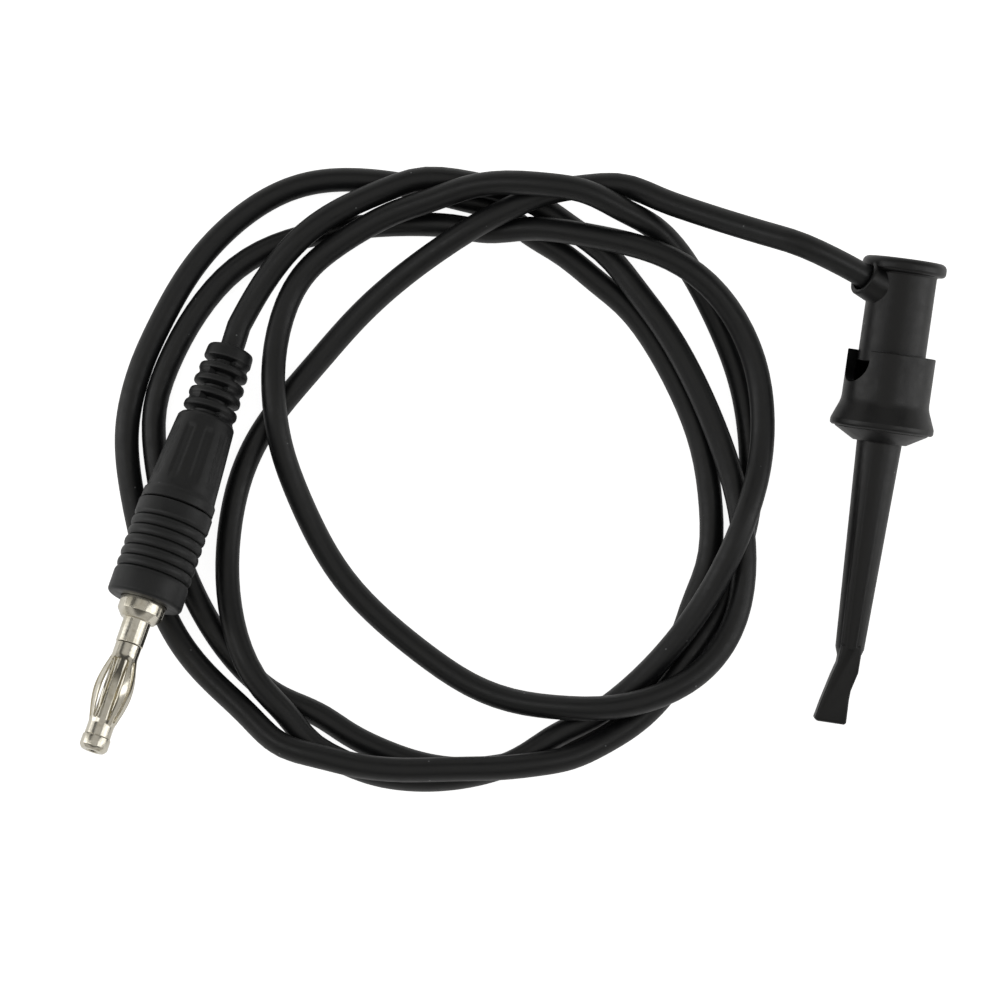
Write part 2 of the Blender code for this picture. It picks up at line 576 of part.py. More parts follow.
def cable_line(clip, plug):
    """The cable's whole middle line, from inside the plunger to inside the plug's boot."""
    out = [clip.matrix_world @ (side_tube_point(place) * MM) / MM for place in CABLE_LEAVES]
    back = [plug.matrix_world @ Vector((0, 0, place * MM)) / MM for place in CABLE_ARRIVES]
    line = smooth_line([tuple(point) for point in (*out, *CABLE_ROUTE, *back)], CABLE_STEP)
    inner = slice(CABLE_END_SAMPLES, -CABLE_END_SAMPLES)
    line[inner, :2] = eased(line[inner, :2], 6)
    return settled(line, CABLE_END_SAMPLES)


def build_cable(clip, plug, rubber):
    """The cable as one round tube, with its points closer together at the two ends."""
    line = cable_line(clip, plug)
    middle = spaced(line[CABLE_END_SAMPLES:-CABLE_END_SAMPLES], CABLE_TUBE_STEP)
    points = [*line[:CABLE_END_SAMPLES:2], *middle, *line[::-1][:CABLE_END_SAMPLES:2][::-1]]
    wire("cable", [tuple(map(float, point)) for point in points], CABLE_RADIUS, rubber, None)


# ---------------------------------------------------------------- the whole lead


def clip_axis():
    """The clip's axes: Z towards the cap, Y up and X towards the cable's side."""
    sine, cosine = math.sin(CLIP_SLOPE), math.cos(CLIP_SLOPE)
    return axis_empty("clip_axis", CLIP_TIP, (-1, 0, 0), (0, -sine, cosine), (0, cosine, sine))


def plug_axis():
    """The plug's axes: Z from the cable's end to the tip and Y up."""
    forward = Vector((
        math.sin(PLUG_HEADING) * math.cos(PLUG_RISE),
        math.cos(PLUG_HEADING) * math.cos(PLUG_RISE),
        math.sin(PLUG_RISE),
    ))
    side = Vector((0, 0, 1)).cross(forward).normalized()
    return axis_empty("plug_axis", PLUG_REAR, side, forward.cross(side), forward)


clear_scene()
PARTS = new_collection("test_lead")
CUTTERS = new_collection("cutters")
CLIP_PLASTIC = finish("clip nylon", (0.030, 0.031, 0.033), 0.36)
PLUG_PLASTIC = finish("plug moulding", (0.026, 0.027, 0.029), 0.45)
CABLE_RUBBER = finish("cable jacket", (0.028, 0.029, 0.030), 0.42)
NICKEL = finish("nickel plate", (0.62, 0.59, 0.54), 0.22, 1.0)
SPRING_STEEL = finish("spring steel", (0.55, 0.56, 0.58), 0.28, 1.0)
COPPER = finish("bare copper", (0.80, 0.42, 0.25), 0.35, 1.0)

CLIP = clip_axis()
PLUG = plug_axis()
bpy.context.view_layer.update()
build_barrel(CLIP, CLIP_PLASTIC)
build_nose(CLIP, CLIP_PLASTIC)
build_plunger(CLIP, CLIP_PLASTIC)
build_holder(CLIP, CLIP_PLASTIC)
build_hook(CLIP, SPRING_STEEL)
build_spring(CLIP, SPRING_STEEL)
build_clip_joint(CLIP, COPPER, NICKEL)
build_boot(PLUG, PLUG_PLASTIC)
build_grip(PLUG, PLUG_PLASTIC)
build_pin(PLUG, NICKEL)
build_cage(PLUG, NICKEL)
build_tip(PLUG, NICKEL)
build_plug_joint(PLUG, COPPER)
build_cable(CLIP, PLUG, CABLE_RUBBER)
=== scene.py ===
"""The looks of a test lead: a sprung hook clip and a lantern banana plug on one loose cable.

Every piece is made in millimetres in its own sub-assembly's axes, whose Z runs along the clip or the
plug, and Axes.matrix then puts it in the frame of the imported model, in metres."""

import logging
import math
from collections.abc import Sequence
from dataclasses import dataclass, field
from enum import Enum

import bmesh
import bpy
import numpy as np
from bmesh.types import BMesh
from mathutils import Euler, Matrix, Vector


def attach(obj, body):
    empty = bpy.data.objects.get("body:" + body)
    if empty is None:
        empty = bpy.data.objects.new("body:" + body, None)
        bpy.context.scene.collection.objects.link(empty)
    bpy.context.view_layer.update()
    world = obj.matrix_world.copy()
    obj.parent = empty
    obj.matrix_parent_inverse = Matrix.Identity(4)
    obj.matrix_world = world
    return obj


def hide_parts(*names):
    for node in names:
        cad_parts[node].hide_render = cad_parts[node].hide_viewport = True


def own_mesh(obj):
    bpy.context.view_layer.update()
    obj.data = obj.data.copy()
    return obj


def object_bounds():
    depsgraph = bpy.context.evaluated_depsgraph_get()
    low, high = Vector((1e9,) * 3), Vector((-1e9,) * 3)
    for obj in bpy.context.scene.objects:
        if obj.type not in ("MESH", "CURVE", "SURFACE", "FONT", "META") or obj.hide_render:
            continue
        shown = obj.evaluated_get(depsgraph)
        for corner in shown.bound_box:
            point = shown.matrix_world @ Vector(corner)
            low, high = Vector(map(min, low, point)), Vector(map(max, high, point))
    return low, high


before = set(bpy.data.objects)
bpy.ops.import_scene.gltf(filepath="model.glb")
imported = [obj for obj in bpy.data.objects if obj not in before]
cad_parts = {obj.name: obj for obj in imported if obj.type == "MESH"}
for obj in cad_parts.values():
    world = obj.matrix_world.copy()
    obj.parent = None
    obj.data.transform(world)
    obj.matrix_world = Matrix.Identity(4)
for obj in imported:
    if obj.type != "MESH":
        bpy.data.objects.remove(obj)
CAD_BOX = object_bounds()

LOG = logging.getLogger("test_lead")
MM = 0.001
ROUND_STEPS = 96
ARC_STEP = math.radians(14.0)
WELD = 0.002


class Body(Enum):
    """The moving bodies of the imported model."""

    PLUNGER_SIDE = "plunger_side"
    BARREL = "barrel"
    CAGE = "cage"


class Slot(Enum):
    """The record's material slots."""

    CLIP = "clip_nylon"
    PLUG = "plug_moulding"
    CABLE = "cable_jacket"
    NICKEL = "nickel_plate"
    STEEL = "spring_steel"


class Join(Enum):
    """How one solid is combined with another."""

    ADD = "UNION"
    CUT = "DIFFERENCE"


# ---------------------------------------------------------------- places and shapes


@dataclass(frozen=True)
class Axes:
    """A sub-assembly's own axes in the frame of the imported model.

    Args:
        origin: Where its axes meet, in millimetres.
        along: The direction of its Z axis.
        up: The direction of its Y axis.
    """

    origin: Vector
    along: Vector
    up: Vector

    def matrix(self) -> Matrix:
        """Returns the matrix from its own millimetres to the frame's metres."""
        side = self.up.cross(self.along)
        turn = Matrix((side, self.up, self.along)).transposed().to_4x4()
        return Matrix.Scale(MM, 4) @ Matrix.Translation(self.origin) @ turn

    def point(self, x: float, y: float, z: float) -> Vector:
        """Returns a point of its own axes in the frame's metres."""
        return self.matrix() @ Vector((x, y, z))


def arced(corners: Sequence[tuple[float, ...]], closed: bool) -> list[Vector]:
    """Rounds the corners of an outline.

    Args:
        corners: (radius, along) or (radius, along, fillet) for each corner.
        closed: True if the last corner joins the first.

    Returns:
        The outline's points, with an arc at each corner that has a fillet.
    """
    points: list[Vector] = []
    places = [Vector(corner[:2]) for corner in corners]
    for index, corner in enumerate(corners):
        here = places[index]
        inner = closed or 0 < index < len(corners) - 1
        if len(corner) < 3 or not inner:
            points.append(here)
            continue
        back = places[index - 1] - here
        ahead = places[(index + 1) % len(places)] - here
        half = back.angle(ahead) / 2
        reach = min(corner[2] / math.tan(half), 0.49 * back.length, 0.49 * ahead.length)
        start = here + back.normalized() * reach
        centre = here + (back.normalized() + ahead.normalized()).normalized() * reach / math.cos(half)
        turn = math.copysign(math.pi - 2 * half, -back.cross(ahead))
        count = max(2, math.ceil(abs(turn) / ARC_STEP))
        for step in range(count + 1):
            spoke = Matrix.Rotation(turn * step / count, 2) @ (start - centre)
            points.append(centre + spoke)
    return points


def turned(
    corners: Sequence[tuple[float, ...]], closed: bool = False, steps: int = ROUND_STEPS
) -> BMesh:
    """Turns an outline once round the Z axis.

    Args:
        corners: The outline's corners, as for arced.
        closed: True for a hollow piece, whose outline is a ring clear of the axis.
        steps: How many flats the turned piece has.

    Returns:
        The turned shape, closed and facing outwards.
    """
    shape = bmesh.new()
    verts = [shape.verts.new((point.x, 0.0, point.y)) for point in arced(corners, closed)]
    ends = list(zip(verts, verts[1:]))
    if closed:
        ends.append((verts[-1], verts[0]))
    edges = [shape.edges.new(pair) for pair in ends]
    bmesh.ops.spin(
        shape, geom=verts + edges, cent=(0, 0, 0), axis=(0, 0, 1), angle=2 * math.pi,
        steps=steps, use_merge=True,
    )
    bmesh.ops.remove_doubles(shape, verts=shape.verts, dist=WELD)
    bmesh.ops.recalc_face_normals(shape, faces=shape.faces)
    return shape


def moved(shape: BMesh, place: Matrix) -> BMesh:
    """Moves and turns a shape, and returns it."""
    bmesh.ops.transform(shape, matrix=place, verts=shape.verts)
    return shape


def rod(start: Vector, direction: Vector, length: float, radius: float) -> BMesh:
    """Makes a round rod.

    Args:
        start: The middle of its first end.
        direction: The way it runs.
        length: How long it is.
        radius: Its radius.

    Returns:
        The rod's shape.
    """
    shape = bmesh.new()
    middle = start + direction.normalized() * length / 2
    turn = direction.to_track_quat("Z", "Y").to_matrix().to_4x4()
    bmesh.ops.create_cone(
        shape, cap_ends=True, segments=ROUND_STEPS // 2, radius1=radius, radius2=radius,
        depth=length, matrix=Matrix.Translation(middle) @ turn,
    )
    return shape


def block(low: Sequence[float], high: Sequence[float], turn: float = 0.0) -> BMesh:
    """Makes a box between two corners.

    Args:
        low: Its lowest corner.
        high: Its highest corner.
        turn: The angle by which it is then turned about Z.

    Returns:
        The box's shape.
    """
    shape = bmesh.new()
    size = Vector(high) - Vector(low)
    middle = (Vector(high) + Vector(low)) / 2
    place = Matrix.Rotation(turn, 4, "Z") @ Matrix.Translation(middle)
    bmesh.ops.create_cube(shape, size=1.0, matrix=place @ Matrix.Diagonal((*size, 1.0)))
    return shape


def combined(first: BMesh, second: BMesh, how: Join) -> BMesh:
    """Joins the second shape to the first or cuts it away, and frees them both.

    Args:
        first: The shape that is kept.
        second: The shape that is added or cut away.
        how: Which of the two it is.

    Returns:
        The new shape, with its flat faces whole.
    """
    helpers = []
    for shape in (first, second):
        mesh = bpy.data.meshes.new("helper")
        shape.to_mesh(mesh)
        shape.free()
        helper = bpy.data.objects.new("helper", mesh)
        bpy.context.scene.collection.objects.link(helper)
        helpers.append(helper)
    boolean = helpers[0].modifiers.new("combine", "BOOLEAN")
    boolean.operation = how.value
    boolean.solver = "EXACT"
    boolean.object = helpers[1]
    result = bmesh.new()
    result.from_object(helpers[0], bpy.context.evaluated_depsgraph_get())
    for helper in helpers:
        bpy.data.meshes.remove(helper.data)
    return result


def softened(shape: BMesh, width: float, sharpest: float = 35.0, steps: int = 3) -> BMesh:
    """Rounds the sharp edges of a shape.

    Args:
        shape: The shape.
        width: How far the rounding reaches from each edge.
        sharpest: The least angle between two faces, in degrees, that counts as sharp.
        steps: How many faces make each rounding.

    Returns:
        The same shape.
    """
    limit = math.radians(sharpest)
    bmesh.ops.remove_doubles(shape, verts=shape.verts, dist=WELD)
    bmesh.ops.dissolve_limit(
        shape, angle_limit=math.radians(0.4), verts=shape.verts, edges=shape.edges
    )
    sharp = [
        edge for edge in shape.edges
        if len(edge.link_faces) == 2 and edge.calc_face_angle() > limit
    ]
    bmesh.ops.bevel(
        shape, geom=sharp, offset=width, offset_type="OFFSET", segments=steps, profile=0.5,
        affect="EDGES", clamp_overlap=True, material=-1,
    )
    return shape


def smooth_step(value: float, low: float, high: float) -> float:
    """Returns 0 below low, 1 above high, and a smooth rise between them."""
    share = min(max((value - low) / (high - low), 0.0), 1.0)
    return share * share * (3 - 2 * share)


@dataclass(frozen=True)
class Dress:
    """What a piece is made of and what it moves with.

    Args:
        body: The body it rides on.
        slot: The record's slot that its finish belongs to; not used.
        material: Its Blender material.
    """

    body: Body
    slot: Slot
    material: bpy.types.Material


def added(
    name: str, data: bpy.types.ID, dress: Dress, stands_for: Sequence[str]
) -> bpy.types.Object:
    """Makes an object of a finished mesh or curve, and lets it ride on its body.

    Args:
        name: The piece's name.
        data: Its mesh or curve, already in place in the frame.
        dress: What it is made of and moves with.
        stands_for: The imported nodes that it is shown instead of.

    Returns:
        The piece.
    """
    piece = bpy.data.objects.new(name, data)
    bpy.context.scene.collection.objects.link(piece)
    data.materials.append(dress.material)
    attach(piece, dress.body.value)
    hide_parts(*stands_for)
    LOG.info("%s stands for %s on %s", name, ", ".join(stands_for), dress.body.value)
    return piece


def solid(
    name: str, shape: BMesh, axes: Axes, dress: Dress, stands_for: Sequence[str],
    sharpest: float = 32.0,
) -> bpy.types.Object:
    """Puts a finished shape in place as a piece, and frees the shape.

    Args:
        name: The piece's name.
        shape: Its shape in its own axes, in millimetres.
        axes: Those axes.
        dress: What it is made of and moves with.
        stands_for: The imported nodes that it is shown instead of.
        sharpest: The angle in degrees past which an edge is shaded as sharp.

    Returns:
        The piece.
    """
    moved(shape, axes.matrix())
    mesh = bpy.data.meshes.new(name)
    shape.to_mesh(mesh)
    shape.free()
    mesh.shade_smooth()
    mesh.set_sharp_from_angle(angle=math.radians(sharpest))
    return added(name, mesh, dress, stands_for)


def round_wire(name: str, points: Sequence[Vector], radius: float, sides: int) -> bpy.types.Curve:
    """Makes a round wire or tube along a line.

    Args:
        name: The curve's name.
        points: The points of its middle line, in metres.
        radius: Its radius in millimetres.
        sides: A quarter of its flats.

    Returns:
        The curve.
    """
    curve = bpy.data.curves.new(name, "CURVE")
    curve.dimensions = "3D"
    curve.bevel_depth = radius * MM
    curve.bevel_resolution = sides
    curve.use_fill_caps = True
    spline = curve.splines.new("POLY")
    spline.points.add(len(points) - 1)
    for target, point in zip(spline.points, points):
        target.co = (*point, 1.0)
    spline.use_smooth = True
    return curve


# ---------------------------------------------------------------- finishes


def srgb(code: str) -> tuple[float, float, float, float]:
    """Turns an sRGB hex colour such as "1c1d1f" into linear RGBA."""
    parts = [int(code[place:place + 2], 16) / 255 for place in (0, 2, 4)]
    linear = [part / 12.92 if part <= 0.04045 else ((part + 0.055) / 1.055) ** 2.4 for part in parts]
    return (*linear, 1.0)


def per_metre(size: float) -> float:
    """Returns a texture scale that repeats every size millimetres."""
    return 1.0 / (size * MM)


def add_node(
    tree: bpy.types.NodeTree, kind: str, inputs: dict[str | int, object] | None = None,
    **settings: object,
) -> bpy.types.Node:
    """Adds a node with its settings and links.

    Args:
        tree: The node tree.
        kind: The node's type, such as "ShaderNodeTexNoise", or the name of a node in the tree.
        inputs: For each input, a value or the output that feeds it.
        **settings: The node's own settings.

    Returns:
        The node.
    """
    node = tree.nodes[kind] if kind in tree.nodes else tree.nodes.new(kind)
    for name, value in settings.items():
        setattr(node, name, value)
    for key, value in (inputs or {}).items():
        if isinstance(value, bpy.types.NodeSocket):
            tree.links.new(value, node.inputs[key])
        else:
            node.inputs[key].default_value = value
    return node


def new_material(name: str) -> tuple[bpy.types.Material, bpy.types.NodeTree]:
    """Makes a material that has only its Principled BSDF and its output."""
    material = bpy.data.materials.new(name)
    material.use_nodes = True
    return material, material.node_tree


@dataclass(frozen=True)
class MouldedPlastic:
    """A black plastic straight from the mould, with a fine spark-eroded skin.

    The skin gives a satin sheen that is a little uneven where the melt has flowed, and handling
    leaves a few pale specks of dust on it.

    Args:
        name: The material's name.
        colour: Its main colour.
        flow_colour: Its colour where the melt flowed last.
        roughness: The middle of its roughness.
        spread: How far its roughness goes either way.
        grain: The size of the skin's grain, in millimetres.
        grain_depth: The depth of that grain, in millimetres.
        dust: The share of the dust cells that hold a speck.
        dust_cell: The size of a dust cell, in millimetres.
        dust_size: The size of a speck, as a share of its cell.
        dust_colour: The colour of a speck.
        ior: Its index of refraction.
    """

    name: str
    colour: str
    flow_colour: str
    roughness: float
    spread: float = 0.06
    grain: float = 0.16
    grain_depth: float = 0.006
    dust: float = 0.12
    dust_cell: float = 2.2
    dust_size: float = 0.035
    dust_colour: str = "6d6f70"
    ior: float = 1.5

    def material(self) -> bpy.types.Material:
        """Returns the plastic's material."""
        material, tree = new_material(self.name)
        place = add_node(tree, "ShaderNodeTexCoord").outputs["Object"]
        flow = add_node(
            tree, "ShaderNodeTexNoise",
            {"Vector": place, "Scale": per_metre(7.0), "Detail": 3.0, "Distortion": 0.6},
        )
        colour = add_node(
            tree, "ShaderNodeMix",
            {"Factor": flow.outputs["Fac"], "A": srgb(self.colour), "B": srgb(self.flow_colour)},
            data_type="RGBA",
        )
        dusty = self.dusted(tree, place, colour.outputs["Result"])
        sheen = add_node(
            tree, "ShaderNodeTexNoise", {"Vector": place, "Scale": per_metre(1.3), "Detail": 4.0}
        )
        roughness = add_node(
            tree, "ShaderNodeMapRange",
            {
                "Value": sheen.outputs["Fac"], "From Min": 0.3, "From Max": 0.7,
                "To Min": self.roughness - self.spread, "To Max": self.roughness + self.spread,
            },
        )
        grain = add_node(
            tree, "ShaderNodeTexNoise",
            {"Vector": place, "Scale": per_metre(self.grain), "Detail": 2.0},
        )
        bump = add_node(
            tree, "ShaderNodeBump",
            {"Height": grain.outputs["Fac"], "Distance": self.grain_depth * MM, "Strength": 1.0},
        )
        add_node(
            tree, "Principled BSDF",
            {
                "Base Color": dusty, "Roughness": roughness.outputs["Result"],
                "Normal": bump.outputs["Normal"], "IOR": self.ior,
            },
        )
        return material

    def dusted(
        self, tree: bpy.types.NodeTree, place: bpy.types.NodeSocket, colour: bpy.types.NodeSocket
    ) -> bpy.types.NodeSocket:
        """Adds specks of dust to a colour.

        Args:
            tree: The node tree.
            place: The coordinates.
            colour: The clean plastic's colour.

        Returns:
            The colour with its specks.
        """
        cells = add_node(
            tree, "ShaderNodeTexVoronoi", {"Vector": place, "Scale": per_metre(self.dust_cell)}
        )
        held = add_node(
            tree, "ShaderNodeSeparateColor", {"Color": cells.outputs["Color"]}
        ).outputs["Red"]
        chosen = add_node(
            tree, "ShaderNodeMath", {0: held, 1: self.dust}, operation="LESS_THAN"
        )
        size = add_node(
            tree, "ShaderNodeMapRange",
            {
                "Value": cells.outputs["Distance"], "From Min": self.dust_size,
                "From Max": self.dust_size * 2, "To Min": 1.0, "To Max": 0.0,
            },
        )
        speck = add_node(
            tree, "ShaderNodeMath", {0: chosen.outputs[0], 1: size.outputs["Result"]},
            operation="MULTIPLY",
        )
        return add_node(
            tree, "ShaderNodeMix",
            {"Factor": speck.outputs[0], "A": colour, "B": srgb(self.dust_colour)},
            data_type="RGBA",
        ).outputs["Result"]


@dataclass(frozen=True)
class TurnedMetal:
    """A bright metal with the faint rings that a lathe or a drawing die leaves.

    Args:
        name: The material's name.
        colour: Its colour where it is clean.
        tarnish: Its colour where it has dulled.
        axes: The axes whose Z the rings run round.
        roughness: Its least roughness.
        spread: How much rougher it gets.
        pitch: The rings' pitch in millimetres, drawn coarser than a real tool mark so that it shows.
        depth: The rings' depth in millimetres.
    """

    name: str
    colour: str
    tarnish: str
    axes: Axes
    roughness: float = 0.13
    spread: float = 0.12
    pitch: float = 0.09
    depth: float = 0.0006

    def material(self) -> bpy.types.Material:
        """Returns the metal's material."""
        material, tree = new_material(self.name)
        place = add_node(tree, "ShaderNodeTexCoord").outputs["Object"]
        turn = self.axes.matrix().to_3x3().normalized().inverted().to_euler()
        lathe = add_node(tree, "ShaderNodeMapping", {"Vector": place, "Rotation": turn})
        rings = add_node(
            tree, "ShaderNodeTexWave",
            {
                "Vector": lathe.outputs["Vector"], "Scale": per_metre(self.pitch) / 20.0,
                "Distortion": 1.2, "Detail": 1.0, "Detail Scale": 2.0,
            },
            wave_type="BANDS", bands_direction="Z",
        )
        bump = add_node(
            tree, "ShaderNodeBump",
            {"Height": rings.outputs["Fac"], "Distance": self.depth * MM, "Strength": 1.0},
        )
        dulled = add_node(
            tree, "ShaderNodeTexNoise",
            {"Vector": place, "Scale": per_metre(1.6), "Detail": 5.0, "Roughness": 0.6},
        )
        share = add_node(
            tree, "ShaderNodeMapRange",
            {"Value": dulled.outputs["Fac"], "From Min": 0.45, "From Max": 0.75},
        )
        colour = add_node(
            tree, "ShaderNodeMix",
            {"Factor": share.outputs["Result"], "A": srgb(self.colour), "B": srgb(self.tarnish)},
            data_type="RGBA",
        )
        roughness = add_node(
            tree, "ShaderNodeMapRange",
            {
                "Value": dulled.outputs["Fac"], "From Min": 0.35, "From Max": 0.75,
                "To Min": self.roughness, "To Max": self.roughness + self.spread,
            },
        )
        add_node(
            tree, "Principled BSDF",
            {
                "Base Color": colour.outputs["Result"], "Roughness": roughness.outputs["Result"],
                "Metallic": 1.0, "Normal": bump.outputs["Normal"],
            },
        )
        return material


# ---------------------------------------------------------------- the clip


@dataclass
class HookClip:
    """The hook clip. Places along its axis are counted from the foot's tip towards the cap."""

    slope: float = math.radians(8.0)
    tip: tuple[float, float, float] = (0.0, -30.6, 1.29)
    foot_low: float = -1.25
    foot_high: float = 1.4
    foot_high_rear: float = 1.85
    nose_end: float = 8.9
    nose_top: float = 38.1
    nose_tip_radius: float = 1.9
    nose_top_radius: float = 2.95
    wire_bore: float = 0.9
    stem_bore: float = 2.15
    stem_bore_end: float = 27.0
    barrel_floor: float = 38.2
    barrel_rim: float = 48.8
    barrel_radius: float = 5.75
    barrel_bore: float = 4.5
    flange_radius: float = 6.8
    flange_place: float = 39.3
    slot_half_width: float = 2.9
    slot_bottom: float = 44.5
    slot_start: float = 3.3
    slot_reach: float = 5.3
    plunger_end: float = 47.4
    plunger_radius: float = 4.4
    chamber_radius: float = 3.3
    chamber_top: float = 59.3
    cap_underside: float = 59.4
    cap_top: float = 61.2
    cap_radius: float = 5.5
    tube_place: float = 56.1
    tube_radius: float = 2.55
    tube_bore: float = 1.9
    tube_end: float = 6.4
    tube_rise: float = math.radians(25.0)
    tube_lean: float = math.radians(20.0)
    shank_radius: float = 0.4
    shank_top: float = 57.0
    hook_bend: float = 0.95
    hook_bend_place: float = 1.6
    hook_point: float = 2.8
    spring_low: float = 38.65
    spring_high: float = 52.7
    spring_radius: float = 2.72
    spring_wire: float = 0.25
    spring_turns: int = 9
    travel: float = 9.0

    def axes(self) -> Axes:
        """Returns the clip's axes: Z towards the cap, Y up and X towards the cable's side."""
        sine, cosine = math.sin(self.slope), math.cos(self.slope)
        return Axes(Vector(self.tip), Vector((0, cosine, sine)), Vector((0, -sine, cosine)))

    def tube_direction(self) -> Vector:
        """Returns the way that the cable leaves the plunger."""
        across = math.cos(self.tube_lean)
        return Vector((
            across * math.cos(self.tube_rise), across * math.sin(self.tube_rise),
            math.sin(self.tube_lean),
        ))

    def tube_point(self, distance: float) -> Vector:
        """Returns the point of the side tube's axis at a distance from the plunger's axis."""
        return Vector((0, 0, self.tube_place)) + self.tube_direction() * distance

    def build(self, plastic: bpy.types.Material, steel: bpy.types.Material) -> None:
        """Builds the clip's visible pieces.

        Args:
            plastic: The mouldings' material.
            steel: The hook's and the spring's material.
        """
        moving = Dress(Body.BARREL, Slot.CLIP, plastic)
        still = Dress(Body.PLUNGER_SIDE, Slot.CLIP, plastic)
        wire = Dress(Body.PLUNGER_SIDE, Slot.STEEL, steel)
        solid("thumb_plunger", self.plunger(), self.axes(), still, ["plunger"])
        solid("finger_barrel", self.barrel(), self.axes(), moving, ["clip_barrel"])
        solid("nose_and_foot", self.nose(), self.axes(), moving, ["clip_nose"], 50.0)
        hook = round_wire("hook", self.hook_line(), self.shank_radius, 5)
        added("hook", hook, wire, ["hook_shank"])
        spring = solid("coil_spring", self.spring(), self.axes(), wire, ["return_spring"])
        self.squash_spring(spring)

    def plunger(self) -> BMesh:
        """Makes the plunger: a hollow barrel closed by its thumb cap, with the cable's side tube."""
        outline = [
            (0.0, self.cap_top), (self.cap_radius, self.cap_top, 0.8),
            (self.cap_radius, self.cap_underside, 0.6),
            (self.plunger_radius, self.cap_underside, 0.3),
            (self.plunger_radius, self.plunger_end, 0.2),
            (self.chamber_radius, self.plunger_end, 0.1),
            (self.chamber_radius, self.chamber_top, 0.2), (0.0, self.chamber_top),
        ]
        direction = self.tube_direction()
        start, end = 2.6, self.tube_end
        sleeve = turned([
            (0.0, start), (self.tube_radius + 0.1, start), (self.tube_radius, end, 0.28),
            (self.tube_bore, end, 0.25), (self.tube_bore, end - 1.2), (0.0, end - 1.2),
        ])
        turn = direction.to_track_quat("Z", "Y").to_matrix().to_4x4()
        place = Matrix.Translation(self.tube_point(0.0)) @ turn
        shape = combined(turned(outline), moved(sleeve, place), Join.ADD)
        softened(shape, 0.22, 38.0)
        bore = rod(self.tube_point(1.8), direction, end - 2.0, self.tube_bore)
        return combined(shape, bore, Join.CUT)

    def barrel(self) -> BMesh:
        """Makes the outer sleeve: finger flange, groove under it, cone to the nose and cable slot."""
        place = self.flange_place
        outline = [
            (self.barrel_radius, self.barrel_rim, 0.14), (self.barrel_radius, 42.2, 3.0),
            (self.flange_radius, place + 0.3, 0.4), (self.flange_radius, place - 0.35, 0.35),
            (6.5, 38.72, 0.08), (6.1, 38.86, 0.08), (6.1, 38.6, 0.08), (3.5, 37.1, 0.15),
            (self.nose_top_radius + 0.05, 37.1), (self.nose_top_radius + 0.05, self.barrel_floor),
            (self.barrel_bore, self.barrel_floor), (self.barrel_bore, self.barrel_rim, 0.12),
        ]
        return combined(turned(outline, closed=True), self.cable_slot(), Join.CUT)

    def cable_slot(self) -> BMesh:
        """Makes the round-bottomed bar that cuts the barrel's slot for the cable's side tube."""
        wide, middle, top = self.slot_half_width, self.slot_bottom + self.slot_half_width, self.barrel_rim + 1
        steps = ROUND_STEPS // 3
        angles = [math.pi * (1 + step / steps) for step in range(steps + 1)]
        edge = [(wide * math.cos(angle), middle + wide * math.sin(angle)) for angle in angles]
        edge += [(wide, top), (-wide, top)]
        shape = bmesh.new()
        base = shape.faces.new([shape.verts.new((self.slot_start, y, z)) for y, z in edge])
        pulled = bmesh.ops.extrude_face_region(shape, geom=[base])["geom"]
        far = [item for item in pulled if isinstance(item, bmesh.types.BMVert)]
        bmesh.ops.translate(shape, verts=far, vec=(self.slot_reach, 0.0, 0.0))
        bmesh.ops.recalc_face_normals(shape, faces=shape.faces)
        return moved(shape, Matrix.Rotation(self.tube_rise, 4, "Z"))

    def nose(self) -> BMesh:
        """Makes the tapering nose with its bent foot, open underneath for the hook."""
        outline = [
            (self.nose_top_radius, self.nose_top), (self.nose_top_radius, 36.9),
            (self.nose_tip_radius, self.nose_end + 0.9, 0.8), (1.35, self.nose_end - 0.7, 0.3),
            (self.wire_bore, self.nose_end - 0.8),
            (self.wire_bore, self.stem_bore_end - 1.2), (self.stem_bore, self.stem_bore_end),
            (self.stem_bore, self.nose_top),
        ]
        shape = combined(turned(outline, closed=True), self.foot(), Join.ADD)
        groove = block((-0.5, -3.0, -1.5), (0.5, 0.55, self.nose_end + 1.2))
        pocket = block((-0.5, -3.1, -1.6), (2.5, 0.55, 3.4))
        return combined(combined(shape, groove, Join.CUT), pocket, Join.CUT)

    def foot(self) -> BMesh:
        """Makes the foot: an outline that bends and widens, with eased edges."""
        left = [(1.35, 10.4), (1.5, 7.8), (2.02, 6.0), (2.9, 2.5), (3.4, 0.15), (3.2, -0.2)]
        right = [(-0.85, -0.25), (-0.78, 3.0), (-0.84, 4.3), (-1.46, 6.8), (-1.5, 10.4)]
        shape = bmesh.new()
        corners = [shape.verts.new((x, self.foot_low, z)) for x, z in left + right]
        base = shape.faces.new(corners)
        raised = bmesh.ops.extrude_face_region(shape, geom=[base])["geom"]
        top = [item for item in raised if isinstance(item, bmesh.types.BMVert)]
        for vert in top:
            share = smooth_step(vert.co.z, 3.5, self.nose_end + 1.0)
            vert.co.y = self.foot_high + (self.foot_high_rear - self.foot_high) * share
        bmesh.ops.recalc_face_normals(shape, faces=shape.faces)
        return softened(shape, 0.42, 50.0, 4)

    def hook_line(self) -> list[Vector]:
        """Returns the middle line of the shank and its J, in metres."""
        axes = self.axes()
        line = [axes.point(0, 0, self.shank_top), axes.point(0, 0, 30.0)]
        bends = 20
        for step in range(bends + 1):
            angle = math.pi * step / bends
            line.append(axes.point(
                self.hook_bend * (1 - math.cos(angle)), 0.0,
                self.hook_bend_place - self.hook_bend * math.sin(angle),
            ))
        line.append(axes.point(2 * self.hook_bend, 0.0, self.hook_point))
        return line

